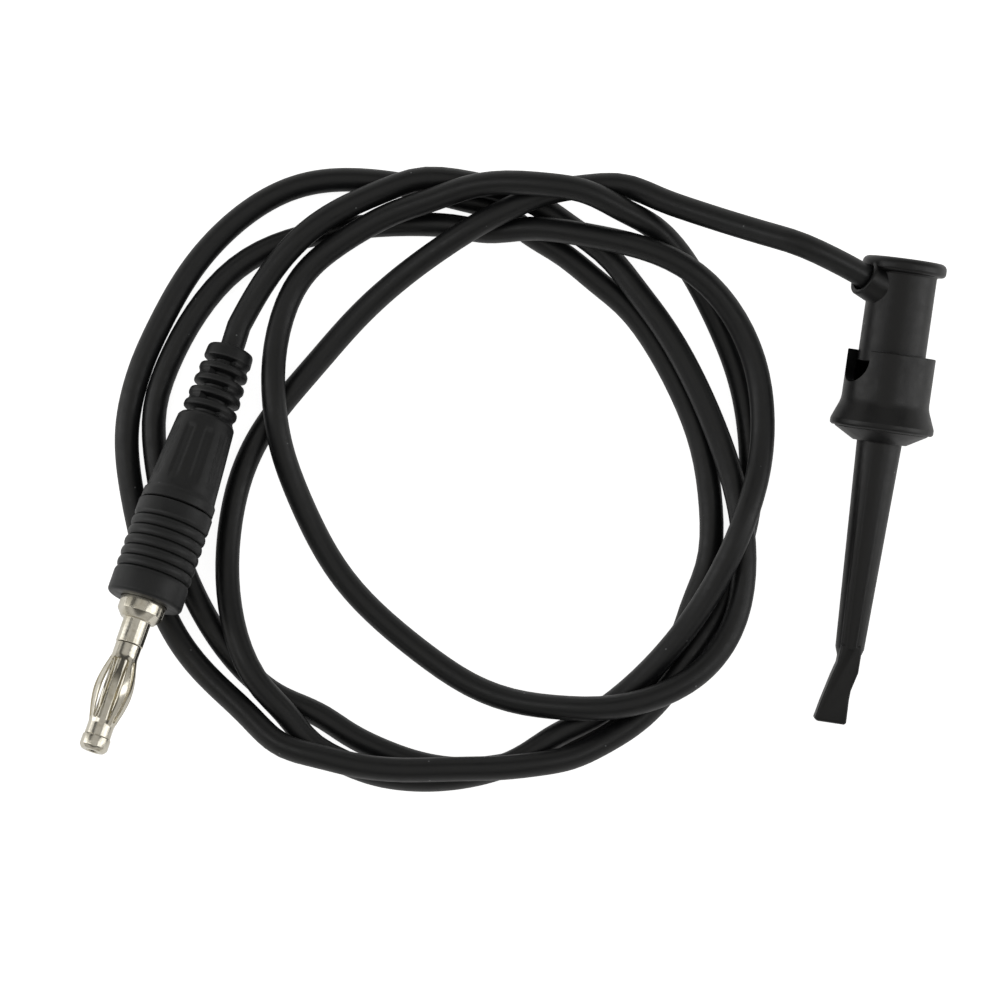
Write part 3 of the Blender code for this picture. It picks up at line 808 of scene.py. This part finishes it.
    def spring(self) -> BMesh:
        """Makes the coil spring: a ring of wire spun upwards round the axis."""
        shape = bmesh.new()
        place = Matrix.Translation((self.spring_radius, 0, self.spring_low))
        flat = Matrix.Rotation(math.pi / 2, 4, "X")
        made = bmesh.ops.create_circle(
            shape, cap_ends=True, segments=14, radius=self.spring_wire, matrix=place @ flat
        )
        start = list({edge for vert in made["verts"] for edge in vert.link_edges})
        steps = self.spring_turns * 40
        rise = (self.spring_high - self.spring_low) / steps
        bmesh.ops.spin(
            shape, geom=list(shape.faces) + start + made["verts"], cent=(0, 0, 0),
            axis=(0, 0, 1), dvec=(0, 0, rise), angle=2 * math.pi * self.spring_turns,
            steps=steps,
        )
        bmesh.ops.recalc_face_normals(shape, faces=shape.faces)
        return shape

    def squash_spring(self, spring: bpy.types.Object) -> None:
        """Gives the spring its own copy of its mesh and finds where its top bears on the holder's flange; the
        spring does not shorten as the barrel slides up.
        """
        axes = self.axes()
        anchor = axes.point(0, 0, self.spring_high + self.spring_wire)
        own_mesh(spring)


# ---------------------------------------------------------------- the plug


@dataclass
class LanternPlug:
    """The banana plug. Places along its axis are counted from the cable's end towards the tip."""

    rear: tuple[float, float, float] = (-86.2, 6.8, 3.74)
    heading: float = math.radians(189.35)
    rise: float = math.radians(10.4)
    cable_radius: float = 1.6
    cable_end: float = 12.5
    relief_end: float = 10.05
    relief_rear_radius: float = 3.1
    relief_radius: float = 3.7
    relief_slots: int = 5
    relief_first_slot: float = 2.3
    relief_pitch: float = 1.82
    relief_groove_depth: float = 0.3
    relief_slot_half_width: float = 0.42
    relief_slot_depth: float = 1.25
    relief_slot_half_arc: float = math.radians(120.0)
    boot_end: float = 22.6
    boot_band: float = 21.1
    boot_radius: float = 4.85
    boot_front_radius: float = 4.62
    boot_rear_radius: float = 3.8
    flutes: int = 10
    flute_start: float = 11.8
    flute_end: float = 20.2
    flute_depth: float = 0.16
    flute_half_width: float = 0.75
    grip_rear: float = 22.8
    grip_front: float = 35.8
    grip_radius: float = 5.0
    spigot_rear: float = 20.5
    spigot_radius: float = 4.0
    ribs: int = 6
    rib_pitch: float = 1.42
    first_groove: float = 25.2
    groove_depth: float = 0.42
    body_radius: float = 2.4
    body_rear: float = 26.8
    cup_rear: float = 23.2
    cup_radius: float = 2.0
    cup_bore: float = 1.35
    cup_floor: float = 26.5
    collar_radius: float = 3.0
    collar_rear: float = 35.2
    collar_front: float = 38.4
    shaft_radius: float = 1.8
    shaft_end: float = 41.7
    core_radius: float = 1.37
    core_end: float = 55.2
    cage_low: float = 41.8
    cage_high: float = 54.25
    ferrule_length: float = 1.6
    cage_radius: float = 1.7
    bulge_radius: float = 2.5
    cage_wall: float = 0.22
    leaf_slot_half_width: float = 0.31
    first_leaf_slot: float = math.radians(121.9)
    seam_leaf: float = math.radians(20.0)
    leaf_pitch: float = math.radians(34.0)
    leaves: int = 11
    tip_rear: float = 54.35
    tip_end: float = 56.25
    tip_radius: float = 1.85

    def axes(self) -> Axes:
        """Returns the plug's axes: Z from the cable's end to the tip and Y up."""
        forward = Vector((
            math.sin(self.heading) * math.cos(self.rise),
            math.cos(self.heading) * math.cos(self.rise), math.sin(self.rise),
        ))
        side = Vector((0, 0, 1)).cross(forward).normalized()
        return Axes(Vector(self.rear), forward, forward.cross(side))

    def build(self, plastic: bpy.types.Material, nickel: bpy.types.Material) -> list[bpy.types.Object]:
        """Builds the plug's visible pieces.

        Args:
            plastic: The mouldings' material.
            nickel: The turned and formed metal's material.

        Returns:
            The pieces.
        """
        axes = self.axes()
        black = Dress(Body.PLUNGER_SIDE, Slot.PLUG, plastic)
        metal = Dress(Body.PLUNGER_SIDE, Slot.NICKEL, nickel)
        leaf = Dress(Body.CAGE, Slot.NICKEL, nickel)
        return [
            solid("strain_relief_boot", self.boot(), axes, black, ["plug_boot"], 40.0),
            solid("ribbed_grip", self.grip(), axes, black, ["plug_grip"]),
            solid("turned_pin", self.pin(), axes, metal, ["plug_pin"]),
            solid("lantern_cage", self.cage(), axes, leaf, ["cage_spring"]),
            solid("pin_head", self.tip(), axes, metal, ["tip_cap"]),
        ]

    def slot_places(self) -> list[float]:
        """Returns the places of the strain relief's slots along the axis."""
        return [self.relief_first_slot + self.relief_pitch * slot for slot in range(self.relief_slots)]

    def boot_radius_at(self, along: float) -> float:
        """Returns the boot's radius at a place, before its slots and flutes are cut."""
        if along < self.relief_end:
            share = along / self.relief_end
            radius = self.relief_rear_radius + (self.relief_radius - self.relief_rear_radius) * share
            for place in self.slot_places():
                radius -= self.relief_groove_depth * (1 - smooth_step(abs(along - place), 0.1, 0.75))
            return radius
        share = (along - self.relief_end) / (self.boot_band - self.relief_end)
        radius = self.boot_rear_radius
        radius += (self.boot_front_radius - self.boot_rear_radius) * min(share, 1.0) ** 0.85
        radius -= 0.25 * (1 - smooth_step(along, self.relief_end, self.relief_end + 0.5))
        band = smooth_step(along, self.boot_band - 0.25, self.boot_band + 0.25)
        return radius + (self.boot_radius - self.boot_front_radius) * band

    def boot_cut(self, along: float, angle: float) -> float:
        """Returns the depth of the slots and flutes at a place and an angle round the axis."""
        depth = 0.0
        for slot, place in enumerate(self.slot_places()):
            middle = math.pi if slot % 2 == 0 else 0.0
            away = abs(math.remainder(angle - middle, 2 * math.pi))
            wide = 1 - smooth_step(abs(along - place), self.relief_slot_half_width - 0.05,
                                   self.relief_slot_half_width + 0.05)
            arc = 1 - smooth_step(away, self.relief_slot_half_arc - 0.08, self.relief_slot_half_arc)
            depth = max(depth, self.relief_slot_depth * wide * arc)
        sector = 2 * math.pi / self.flutes
        off = abs(math.remainder(angle, sector)) * self.boot_radius_at(along)
        ends = smooth_step(along, self.flute_start, self.flute_start + 0.6)
        ends *= 1 - smooth_step(along, self.flute_end - 1.6, self.flute_end)
        across = 1 - smooth_step(off, 0.55 * self.flute_half_width, self.flute_half_width)
        return max(depth, self.flute_depth * ends * across)

    def boot(self) -> BMesh:
        """Makes the boot: slotted strain relief behind, fluted taper in front, hollow for the cable."""
        fine, coarse = 0.11, 0.3
        outline: list[tuple[float, ...]] = [
            (self.spigot_radius + 0.1, self.boot_end), (self.boot_radius - 0.12, self.boot_end),
        ]
        along = self.boot_end - 0.12
        while along > 0.35:
            outline.append((self.boot_radius_at(along), along))
            along -= coarse if along > self.relief_end + 1.0 else fine
        bore = self.cable_radius + 0.12
        outline += [
            (self.relief_rear_radius - 0.03, 0.22), (self.relief_rear_radius - 0.12, 0.08),
            (self.relief_rear_radius - 0.3, 0.0), (bore + 0.3, 0.0), (bore, 0.3),
            (bore, self.cable_end + 0.4), (2.6, self.cable_end + 1.4),
            (2.6, self.spigot_rear - 0.2), (self.spigot_radius + 0.1, self.spigot_rear - 0.2),
        ]
        shape = turned(outline, closed=True, steps=144)
        for vert in shape.verts:
            radius = math.hypot(vert.co.x, vert.co.y)
            outside = radius > self.boot_radius_at(vert.co.z) - 0.15
            if not outside or not 0.3 < vert.co.z < self.boot_end - 0.2:
                continue
            cut = self.boot_cut(vert.co.z, math.atan2(vert.co.y, vert.co.x))
            vert.co.x *= 1 - cut / radius
            vert.co.y *= 1 - cut / radius
        return shape

    def grip(self) -> BMesh:
        """Makes the grip: a plain band in front, finger ribs behind it and the spigot in the boot."""
        outline: list[tuple[float, ...]] = [
            (self.collar_radius + 0.1, self.grip_front, 0.1), (self.grip_radius, self.grip_front, 0.5),
        ]
        steps = 24
        first = self.first_groove - self.rib_pitch / 2
        for rib in reversed(range(self.ribs)):
            for step in range(steps):
                share = 1 - step / steps
                off = abs(2 * share - 1)
                dip = self.groove_depth * (1 - math.sqrt(off * (2 - off)))
                outline.append((self.grip_radius - dip, first + self.rib_pitch * (rib + share)))
        outline += [
            (self.grip_radius - 0.02, first), (self.grip_radius - 0.02, self.grip_rear, 0.2),
            (self.spigot_radius, self.grip_rear), (self.spigot_radius, self.spigot_rear, 0.2),
            (self.body_radius + 0.1, self.spigot_rear),
            (self.body_radius + 0.1, self.collar_rear - 0.1),
            (self.collar_radius + 0.1, self.collar_rear - 0.1),
        ]
        return turned(outline, closed=True, steps=128)

    def pin(self) -> BMesh:
        """Makes the turned pin: core, shaft and chamfered collar, with body and solder cup behind."""
        return turned([
            (0.0, self.core_end), (self.core_radius, self.core_end),
            (self.core_radius, self.shaft_end, 0.1), (self.shaft_radius, self.shaft_end, 0.12),
            (self.shaft_radius, self.collar_front, 0.12),
            (self.collar_radius - 0.75, self.collar_front, 0.08),
            (self.collar_radius, self.collar_front - 0.95, 0.12),
            (self.collar_radius, self.collar_rear, 0.1), (self.body_radius, self.collar_rear),
            (self.body_radius, self.body_rear), (self.cup_radius, self.body_rear),
            (self.cup_radius, self.cup_rear), (self.cup_bore, self.cup_rear),
            (self.cup_bore, self.cup_floor), (0.0, self.cup_floor),
        ])

    def leaf_radius(self, along: float) -> float:
        """Returns the leaves' outer radius at a place: straight ferrules and one long swell."""
        low = self.cage_low + self.ferrule_length
        high = self.cage_high - self.ferrule_length
        share = min(max((along - low) / (high - low), 0.0), 1.0)
        return self.cage_radius + (self.bulge_radius - self.cage_radius) * math.sin(math.pi * share) ** 1.2

    def leaf_slots(self) -> list[float]:
        """Returns the angles of the slots between the leaves, the first two round the narrow leaf."""
        second = self.first_leaf_slot - self.seam_leaf
        rest = [second - self.leaf_pitch * slot for slot in range(self.leaves - 1)]
        return [self.first_leaf_slot, *rest]

    def cage(self) -> BMesh:
        """Makes the lantern cage: a swelling tube whose slots are cut out, then given its wall."""
        rows, steps = 120, 240
        places = [self.cage_high - (self.cage_high - self.cage_low) * row / rows for row in range(rows + 1)]
        shape = bmesh.new()
        verts = [shape.verts.new((self.leaf_radius(place), 0.0, place)) for place in places]
        edges = [shape.edges.new(pair) for pair in zip(verts, verts[1:])]
        bmesh.ops.spin(
            shape, geom=verts + edges, cent=(0, 0, 0), axis=(0, 0, 1), angle=2 * math.pi,
            steps=steps, use_merge=True,
        )
        bmesh.ops.recalc_face_normals(shape, faces=shape.faces)
        low = self.cage_low + self.ferrule_length + 0.45
        high = self.cage_high - self.ferrule_length - 0.45
        slots = self.leaf_slots()
        cut = []
        for face in shape.faces:
            middle = face.calc_center_median()
            angle = math.atan2(middle.y, middle.x)
            radius = math.hypot(middle.x, middle.y)
            off = min(abs(math.remainder(angle - slot, 2 * math.pi)) for slot in slots) * radius
            end = min(middle.z - low, high - middle.z)
            width = self.leaf_slot_half_width
            reach = math.sqrt(max(0.0, 1 - max(0.0, 1 - end / width) ** 2)) * width if end > 0 else 0.0
            if off < reach:
                cut.append(face)
        bmesh.ops.delete(shape, geom=cut, context="FACES")
        bmesh.ops.smooth_vert(
            shape, verts=[vert for vert in shape.verts if vert.is_boundary], factor=0.5,
            use_axis_x=True, use_axis_y=True, use_axis_z=False,
        )
        bmesh.ops.solidify(shape, geom=shape.faces, thickness=self.cage_wall)
        return shape

    def tip(self) -> BMesh:
        """Makes the head on the core's end, with the dimple of its riveting."""
        bore, end = self.core_radius + 0.08, self.tip_end
        return turned([
            (0.0, end - 0.62), (0.55, end - 0.55, 0.2), (0.85, end - 0.02, 0.15),
            (1.45, end, 0.3), (self.tip_radius, end - 0.5, 0.35),
            (self.tip_radius, self.tip_rear, 0.08), (bore, self.tip_rear),
            (bore, self.core_end + 0.1), (0.0, self.core_end + 0.1),
        ])


# ---------------------------------------------------------------- the cable


@dataclass
class Cable:
    """The one free cable, from inside the plunger to inside the plug's boot."""

    clip: HookClip
    plug: LanternPlug
    radius: float = 1.6
    length: float = 1.04
    step: float = 2.0
    gap: float = 0.12
    end_samples: int = 8
    layer_step: float = 1.0
    parting_turns: int = 60
    settling_turns: int = 600
    hump_passes: int = 10
    leaves: tuple[float, ...] = (3.5, 8.5)
    arrives: tuple[float, ...] = (-4.5, 0.0, 6.0, 12.5)
    # The middle line from the clip to the plug: x, y and the height of its layer
    route: tuple[tuple[float, float, float], ...] = (
        (-15, 29.4, 15), (-25, 31.8, 11), (-34, 34, 5.5), (-40.5, 34.6, 3.4), (-46, 33.9, 4.2),
        (-50.5, 31.5, 5.4), (-54.5, 29, 7), (-58, 26, 8), (-63.5, 21.5, 5.6), (-70, 14.5, 2.4),
        (-75.5, 6, 1.6), (-80.5, -2, 1.6), (-83, -10, 1.6), (-83, -20.5, 1.6), (-81, -28.5, 3),
        (-78, -34.5, 4.8), (-73.5, -39, 3.6), (-67, -43.5, 1.8), (-59, -46, 2.6), (-51, -45.5, 3.2),
        (-43.5, -43, 3.8), (-38, -39.5, 4.4), (-32.5, -35, 3.6), (-28, -30.5, 4.4),
        (-23.5, -24.5, 4.4), (-20, -18, 4.8), (-17.5, -11.5, 7.4), (-16, -5.5, 8), (-15, 1, 5.4),
        (-15.5, 8, 4.8), (-17.5, 15, 4.8), (-22, 21.5, 4.8), (-27.5, 25.5, 5), (-34.5, 27.5, 4.8),
        (-41, 28, 4.8), (-48.5, 28.5, 4.4), (-56, 28, 1.8), (-72, 26, 1.6), (-87, 19, 1.6),
        (-95, 3.5, 1.6), (-95, -6, 1.6), (-89, -22, 1.6), (-79, -34.5, 1.6), (-65.5, -41, 1.6),
        (-49, -44, 1.6), (-34, -38, 1.6), (-23.5, -26.5, 1.6), (-19.5, -14, 1.6), (-20.5, -4.5, 1.6),
        (-23, 4, 1.6), (-28.5, 13, 1.6), (-34, 19.5, 1.6), (-40.5, 24.5, 1.6), (-48, 28, 1.6),
        (-55, 30.5, 1.6), (-68, 32.5, 1.6), (-82, 30, 1.6), (-93, 18, 1.6), (-98.5, 0, 1.6),
        (-98, -9.5, 1.6), (-91.5, -26.5, 1.6), (-86, -34, 1.6), (-79, -39, 1.6), (-72, -43, 3.4),
        (-64, -45, 5), (-56.5, -45, 4.6), (-48.5, -43.5, 4.8), (-41, -42.5, 6.4), (-34.5, -39.5, 4.6),
        (-28.5, -36.5, 3.8), (-24, -31.5, 3), (-21, -25.5, 3), (-18.5, -19, 2.4), (-16.5, -12.5, 1.8),
        (-15.5, -7.5, 1.6), (-15.5, -0.5, 1.6), (-18.5, 12, 1.6), (-25.5, 23.5, 1.6),
        (-31, 29.5, 1.6), (-37, 32.5, 4), (-43.5, 33.5, 7), (-50, 33.2, 8), (-57, 32.6, 5.2),
        (-63, 30.8, 5), (-68.7, 27.2, 5), (-74, 23, 4.8), (-78.5, 18.6, 2.6), (-80.3, 12.5, 1.6),
        (-80.5, 5.5, 3.6), (-79, -1.5, 4.8), (-76.5, -8, 2), (-67, -21.5, 1.6), (-51.5, -31.5, 1.6),
        (-43.5, -34, 2.4), (-35.5, -34, 5.2), (-29, -33, 7), (-23.5, -30.5, 7.4), (-18.5, -26.5, 5.6),
        (-15.5, -20.5, 4), (-15, -14, 4.4), (-16, -7.5, 4.8), (-18, -1.5, 3), (-21.5, 5.5, 2.8),
        (-25.5, 12, 2.8), (-30.5, 18.5, 2.8), (-37.5, 25, 2.6), (-43.5, 29, 2.2), (-50.5, 32, 2.6),
        (-56.5, 33.5, 3.2), (-62.5, 33, 4), (-67, 31.5, 4.8), (-73, 28.5, 3.4), (-78, 24.5, 4.2),
        (-81.8, 19.4, 4.8), (-84.2, 14.4, 2.6),
    )

    def build(self, jacket: bpy.types.Material, on_it: Sequence[bpy.types.Object | str]) -> None:
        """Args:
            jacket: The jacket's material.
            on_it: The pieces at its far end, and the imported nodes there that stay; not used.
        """
        line = self.spaced(self.line(), 1.0) * MM
        curve = round_wire("cable_jacket", [Vector(point) for point in line], self.radius, 7)
        dress = Dress(Body.PLUNGER_SIDE, Slot.CABLE, jacket)
        piece = added("cable_jacket", curve, dress, ["cable"])
        leaves = self.clip.axes().point(*self.clip.tube_point(self.leaves[0]))

    def line(self) -> np.ndarray:
        """Returns the cable's whole middle line, in millimetres."""
        out = [self.clip.axes().point(*self.clip.tube_point(place)) / MM for place in self.leaves]
        back = [self.plug.axes().point(0, 0, place) / MM for place in self.arrives]
        line = self.smooth_line([tuple(point) for point in (*out, *self.route, *back)])
        inner = slice(self.end_samples, -self.end_samples)
        line[inner, :2] = self.eased(line[inner, :2], 6)
        return self.settled(line)

    def smooth_line(self, points: Sequence[tuple[float, ...]]) -> np.ndarray:
        """Returns evenly spaced points on the Catmull-Rom curve through the given ones."""
        knots = np.array([points[0], *points, points[-1]], float)
        samples = []
        for a, b, c, d in zip(knots, knots[1:], knots[2:], knots[3:]):
            for share in np.arange(0.0, 1.0, 0.05):
                bend = (2 * a - 5 * b + 4 * c - d) * share**2 + (3 * b - a - 3 * c + d) * share**3
                samples.append((2 * b + (c - a) * share + bend) / 2)
        samples.append(knots[-1])
        return self.spaced(np.array(samples), self.step)

    @staticmethod
    def spaced(line: np.ndarray, step: float) -> np.ndarray:
        """Returns the same line with its points evenly spaced, at most a step apart."""
        along = np.concatenate([[0.0], np.cumsum(np.linalg.norm(np.diff(line, axis=0), axis=1))])
        places = np.linspace(0.0, along[-1], math.ceil(along[-1] / step) + 1)
        return np.stack([np.interp(places, along, line[:, axis]) for axis in range(3)], axis=1)

    @staticmethod
    def eased(values: np.ndarray, passes: int) -> np.ndarray:
        """Draws each inner value towards its neighbours, and returns the values."""
        for _ in range(passes):
            values[1:-1] += (values[:-2] - 2 * values[1:-1] + values[2:]) / 4
        return values

    def close_pairs(self, line: np.ndarray, size: float) -> tuple[np.ndarray, np.ndarray, np.ndarray]:
        """Finds points of different strands that are less than a cable apart in plan.

        Args:
            line: The middle line.
            size: How far apart two strands have to be.

        Returns:
            The first and second index of each pair, and how far apart in plan they are.
        """
        apart = np.linalg.norm(line[:, None, :2] - line[None, :, :2], axis=2)
        first, second = np.nonzero(np.triu(apart < size, k=round(4 * size / self.step)))
        return first, second, apart[first, second]

    def side_by_side(self, line: np.ndarray, size: float) -> np.ndarray:
        """Moves strands of one layer apart in plan until they lie beside each other."""
        for _ in range(self.parting_turns):
            first, second, apart = self.close_pairs(line, size)
            level = np.abs(line[first, 2] - line[second, 2]) < self.layer_step
            first, second, apart = first[level], second[level], apart[level]
            push = (line[first, :2] - line[second, :2]) / np.maximum(apart, 0.1)[:, None]
            push *= ((size - apart) / 2)[:, None]
            moves = np.zeros((len(line), 2))
            counts = np.ones(len(line))
            for index, move in ((first, push), (second, -push)):
                np.add.at(moves, index, move)
                np.add.at(counts, index, 1.0)
            moves[:self.end_samples] = moves[-self.end_samples:] = 0.0
            line[:, :2] += self.eased(moves / counts[:, None], 4)
        return line

    def settled(self, line: np.ndarray) -> np.ndarray:
        """Lets the strands lie on each other.

        The cable's weight draws it down, and where two strands cross, the upper one is lifted in
        a long low hump until they clear. The two ends stay held."""
        size = 2 * self.radius + self.gap
        line = self.side_by_side(line, size)
        first, second, apart = self.close_pairs(line, size)
        needed = np.sqrt(size**2 - apart**2)
        heights = line[:, 2].copy()
        upper = np.where(heights[first] > heights[second], first, second)
        lower = first + second - upper
        start, held = heights.copy(), self.end_samples
        for turn in range(self.settling_turns):
            lift = np.zeros(len(heights))
            np.maximum.at(lift, upper, np.maximum(needed - heights[upper] + heights[lower], 0.0))
            heights += self.eased(lift, self.hump_passes)
            if turn < self.settling_turns / 2:
                self.eased(heights, 4)
                heights -= 0.05
            heights = np.maximum(heights, self.radius)
            heights[:held] = start[:held]
            heights[-held:] = start[-held:]
        line[:, 2] = self.eased(heights, 1)
        return line


# ---------------------------------------------------------------- the studio


@dataclass
class Studio:
    """A white table under soft light, with the camera nearly straight above it.

    Args:
        look_at: The point of the table at the middle of the view, in millimetres.
        distance: The camera's distance from it, in millimetres.
        tilt: The camera's lean from straight down.
        turn: Its turn about the vertical.
        lens: Its focal length, in millimetres.
        table_drop: How far the table lies under the lead, in millimetres.
        table_half: Half the table's width, in metres.
        box_place: The right softbox's place from the middle of the view, in metres.
        box_size: A softbox's width and height, in metres.
        box_power: Its power in watts.
        room: How bright the room is at each sine of the height above the table.
    """

    look_at: Vector = field(default_factory=lambda: Vector((-48.28, -7.62, 0.0)))
    distance: float = 400.0
    tilt: float = math.radians(5.0)
    turn: float = math.radians(7.9)
    lens: float = 108.27
    table_drop: float = 0.03
    table_half: float = 1.6
    box_place: tuple[float, float, float] = (0.34, 0.02, 0.15)
    box_size: tuple[float, float] = (0.12, 0.6)
    box_power: float = 0.28
    room: tuple[tuple[float, float], ...] = (
        (0.0, 0.35), (0.12, 0.4), (0.48, 0.5), (0.56, 0.08), (0.74, 0.05), (0.83, 0.35),
        (0.92, 0.5), (0.97, 0.45), (1.0, 0.42),
    )

    def camera(self) -> None:
        """Adds the camera."""
        data = bpy.data.cameras.new("camera")
        data.lens = self.lens
        data.sensor_width = 36.0
        data.clip_start, data.clip_end = 0.01, 10.0
        camera = bpy.data.objects.new("camera", data)
        camera.rotation_euler = (self.tilt, 0.0, self.turn)
        back = Euler(camera.rotation_euler).to_matrix() @ Vector((0, 0, 1))
        camera.location = (self.look_at + back * self.distance) * MM
        bpy.context.scene.collection.objects.link(camera)
        bpy.context.scene.camera = camera

    def table(self) -> None:
        """Adds the white table, which glows a little, as a light table does."""
        shape = bmesh.new()
        low = CAD_BOX[0].z / MM - self.table_drop
        place = Matrix.Translation((self.look_at.x * MM, self.look_at.y * MM, low * MM))
        bmesh.ops.create_grid(shape, x_segments=1, y_segments=1, size=self.table_half, matrix=place)
        mesh = bpy.data.meshes.new("table")
        shape.to_mesh(mesh)
        shape.free()
        table = bpy.data.objects.new("table", mesh)
        bpy.context.scene.collection.objects.link(table)
        material, tree = new_material("white table")
        seen = add_node(tree, "ShaderNodeLightPath").outputs["Is Camera Ray"]
        glow = add_node(tree, "ShaderNodeMapRange", {"Value": seen, "To Min": 0.3, "To Max": 0.9})
        add_node(
            tree, "Principled BSDF",
            {
                "Base Color": srgb("f4f4f4"), "Roughness": 0.9, "Specular IOR Level": 0.1,
                "Emission Color": srgb("ffffff"), "Emission Strength": glow.outputs["Result"],
            },
        )
        mesh.materials.append(material)

    def softbox(self, name: str, side: float) -> None:
        """Adds a rectangular soft light that faces the middle of the view.

        Args:
            name: Its name.
            side: 1 on the right and -1 on the left.
        """
        data = bpy.data.lights.new(name, "AREA")
        data.shape = "RECTANGLE"
        data.size, data.size_y = self.box_size
        data.energy = self.box_power
        light = bpy.data.objects.new(name, data)
        place = Vector((side * self.box_place[0], *self.box_place[1:]))
        light.location = self.look_at * MM + place
        light.rotation_euler = place.to_track_quat("Z", "Y").to_euler()
        bpy.context.scene.collection.objects.link(light)

    def world(self) -> None:
        """Adds the room: bright round the sides and dim overhead, where the camera hangs."""
        world = bpy.data.worlds.new("room")
        bpy.context.scene.world = world
        world.use_nodes = True
        tree = world.node_tree
        way = add_node(tree, "ShaderNodeTexCoord").outputs["Generated"]
        height = add_node(tree, "ShaderNodeSeparateXYZ", {"Vector": way}).outputs["Z"]
        ramp = add_node(tree, "ShaderNodeValToRGB", {"Fac": height})
        elements = ramp.color_ramp.elements
        for place, _ in self.room[1:-1]:
            elements.new(place)
        for element, (place, value) in zip(elements, self.room):
            element.position = place
            element.color = (value, value * 0.985, value * 0.95, 1.0)
        seen = add_node(tree, "ShaderNodeLightPath").outputs["Is Camera Ray"]
        colour = add_node(
            tree, "ShaderNodeMix",
            {"Factor": seen, "A": ramp.outputs["Color"], "B": srgb("ffffff")}, data_type="RGBA",
        )
        add_node(tree, "Background", {"Color": colour.outputs["Result"], "Strength": 1.0})

    def build(self) -> None:
        """Builds the whole studio."""
        self.table()
        self.world()
        self.softbox("left softbox", -1.0)
        self.softbox("right softbox", 1.0)
        bpy.context.scene.view_settings.view_transform = "Standard"


# ---------------------------------------------------------------- the whole lead


def dress_node(name: str, material: bpy.types.Material) -> None:
    """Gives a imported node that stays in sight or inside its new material."""
    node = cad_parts[name]
    node.data.materials.clear()
    node.data.materials.append(material)
    LOG.info("%s keeps its packed shape", name)


def main() -> None:
    """Builds the camera, the cable, the two ends and the studio."""
    clip, plug = HookClip(), LanternPlug()
    studio = Studio()
    studio.camera()
    # Glass-filled nylon: dense black, satin, with a brighter sheen on its edges
    nylon = MouldedPlastic("moulded nylon", "0b0b0c", "101011", 0.38).material()
    # Soft PVC moulding: a little duller than the clip
    pvc = MouldedPlastic("moulded PVC", "1a1b1c", "202122", 0.46, grain=0.2).material()
    # Extruded silicone jacket: smooth, satin, and it holds dust
    jacket = MouldedPlastic(
        "silicone jacket", "131415", "18191a", 0.42, grain=0.3, grain_depth=0.004, dust=0.3,
    ).material()
    # Nickel plate over turned brass: bright and faintly yellow
    nickel = TurnedMetal("nickel plate", "e8e3d5", "cfc8b4", plug.axes()).material()
    # Drawn stainless wire: cooler and a little duller
    steel = TurnedMetal("stainless wire", "b9bbbd", "97999b", clip.axes(), 0.24).material()
    # Bare stranded copper
    copper = TurnedMetal("bare copper", "d99a78", "a9683f", clip.axes(), 0.3).material()
    on_cable = plug.build(pvc, nickel)
    Cable(clip, plug).build(jacket, [*on_cable, "conductor_end_plug"])
    clip.build(nylon, steel)
    dress_node("shank_holder", nylon)
    dress_node("crimp_ferrule", nickel)
    dress_node("conductor_end_clip", copper)
    dress_node("conductor_end_plug", copper)
    studio.build()


if __name__ == "__main__":
    logging.basicConfig(level=logging.INFO)
    main()
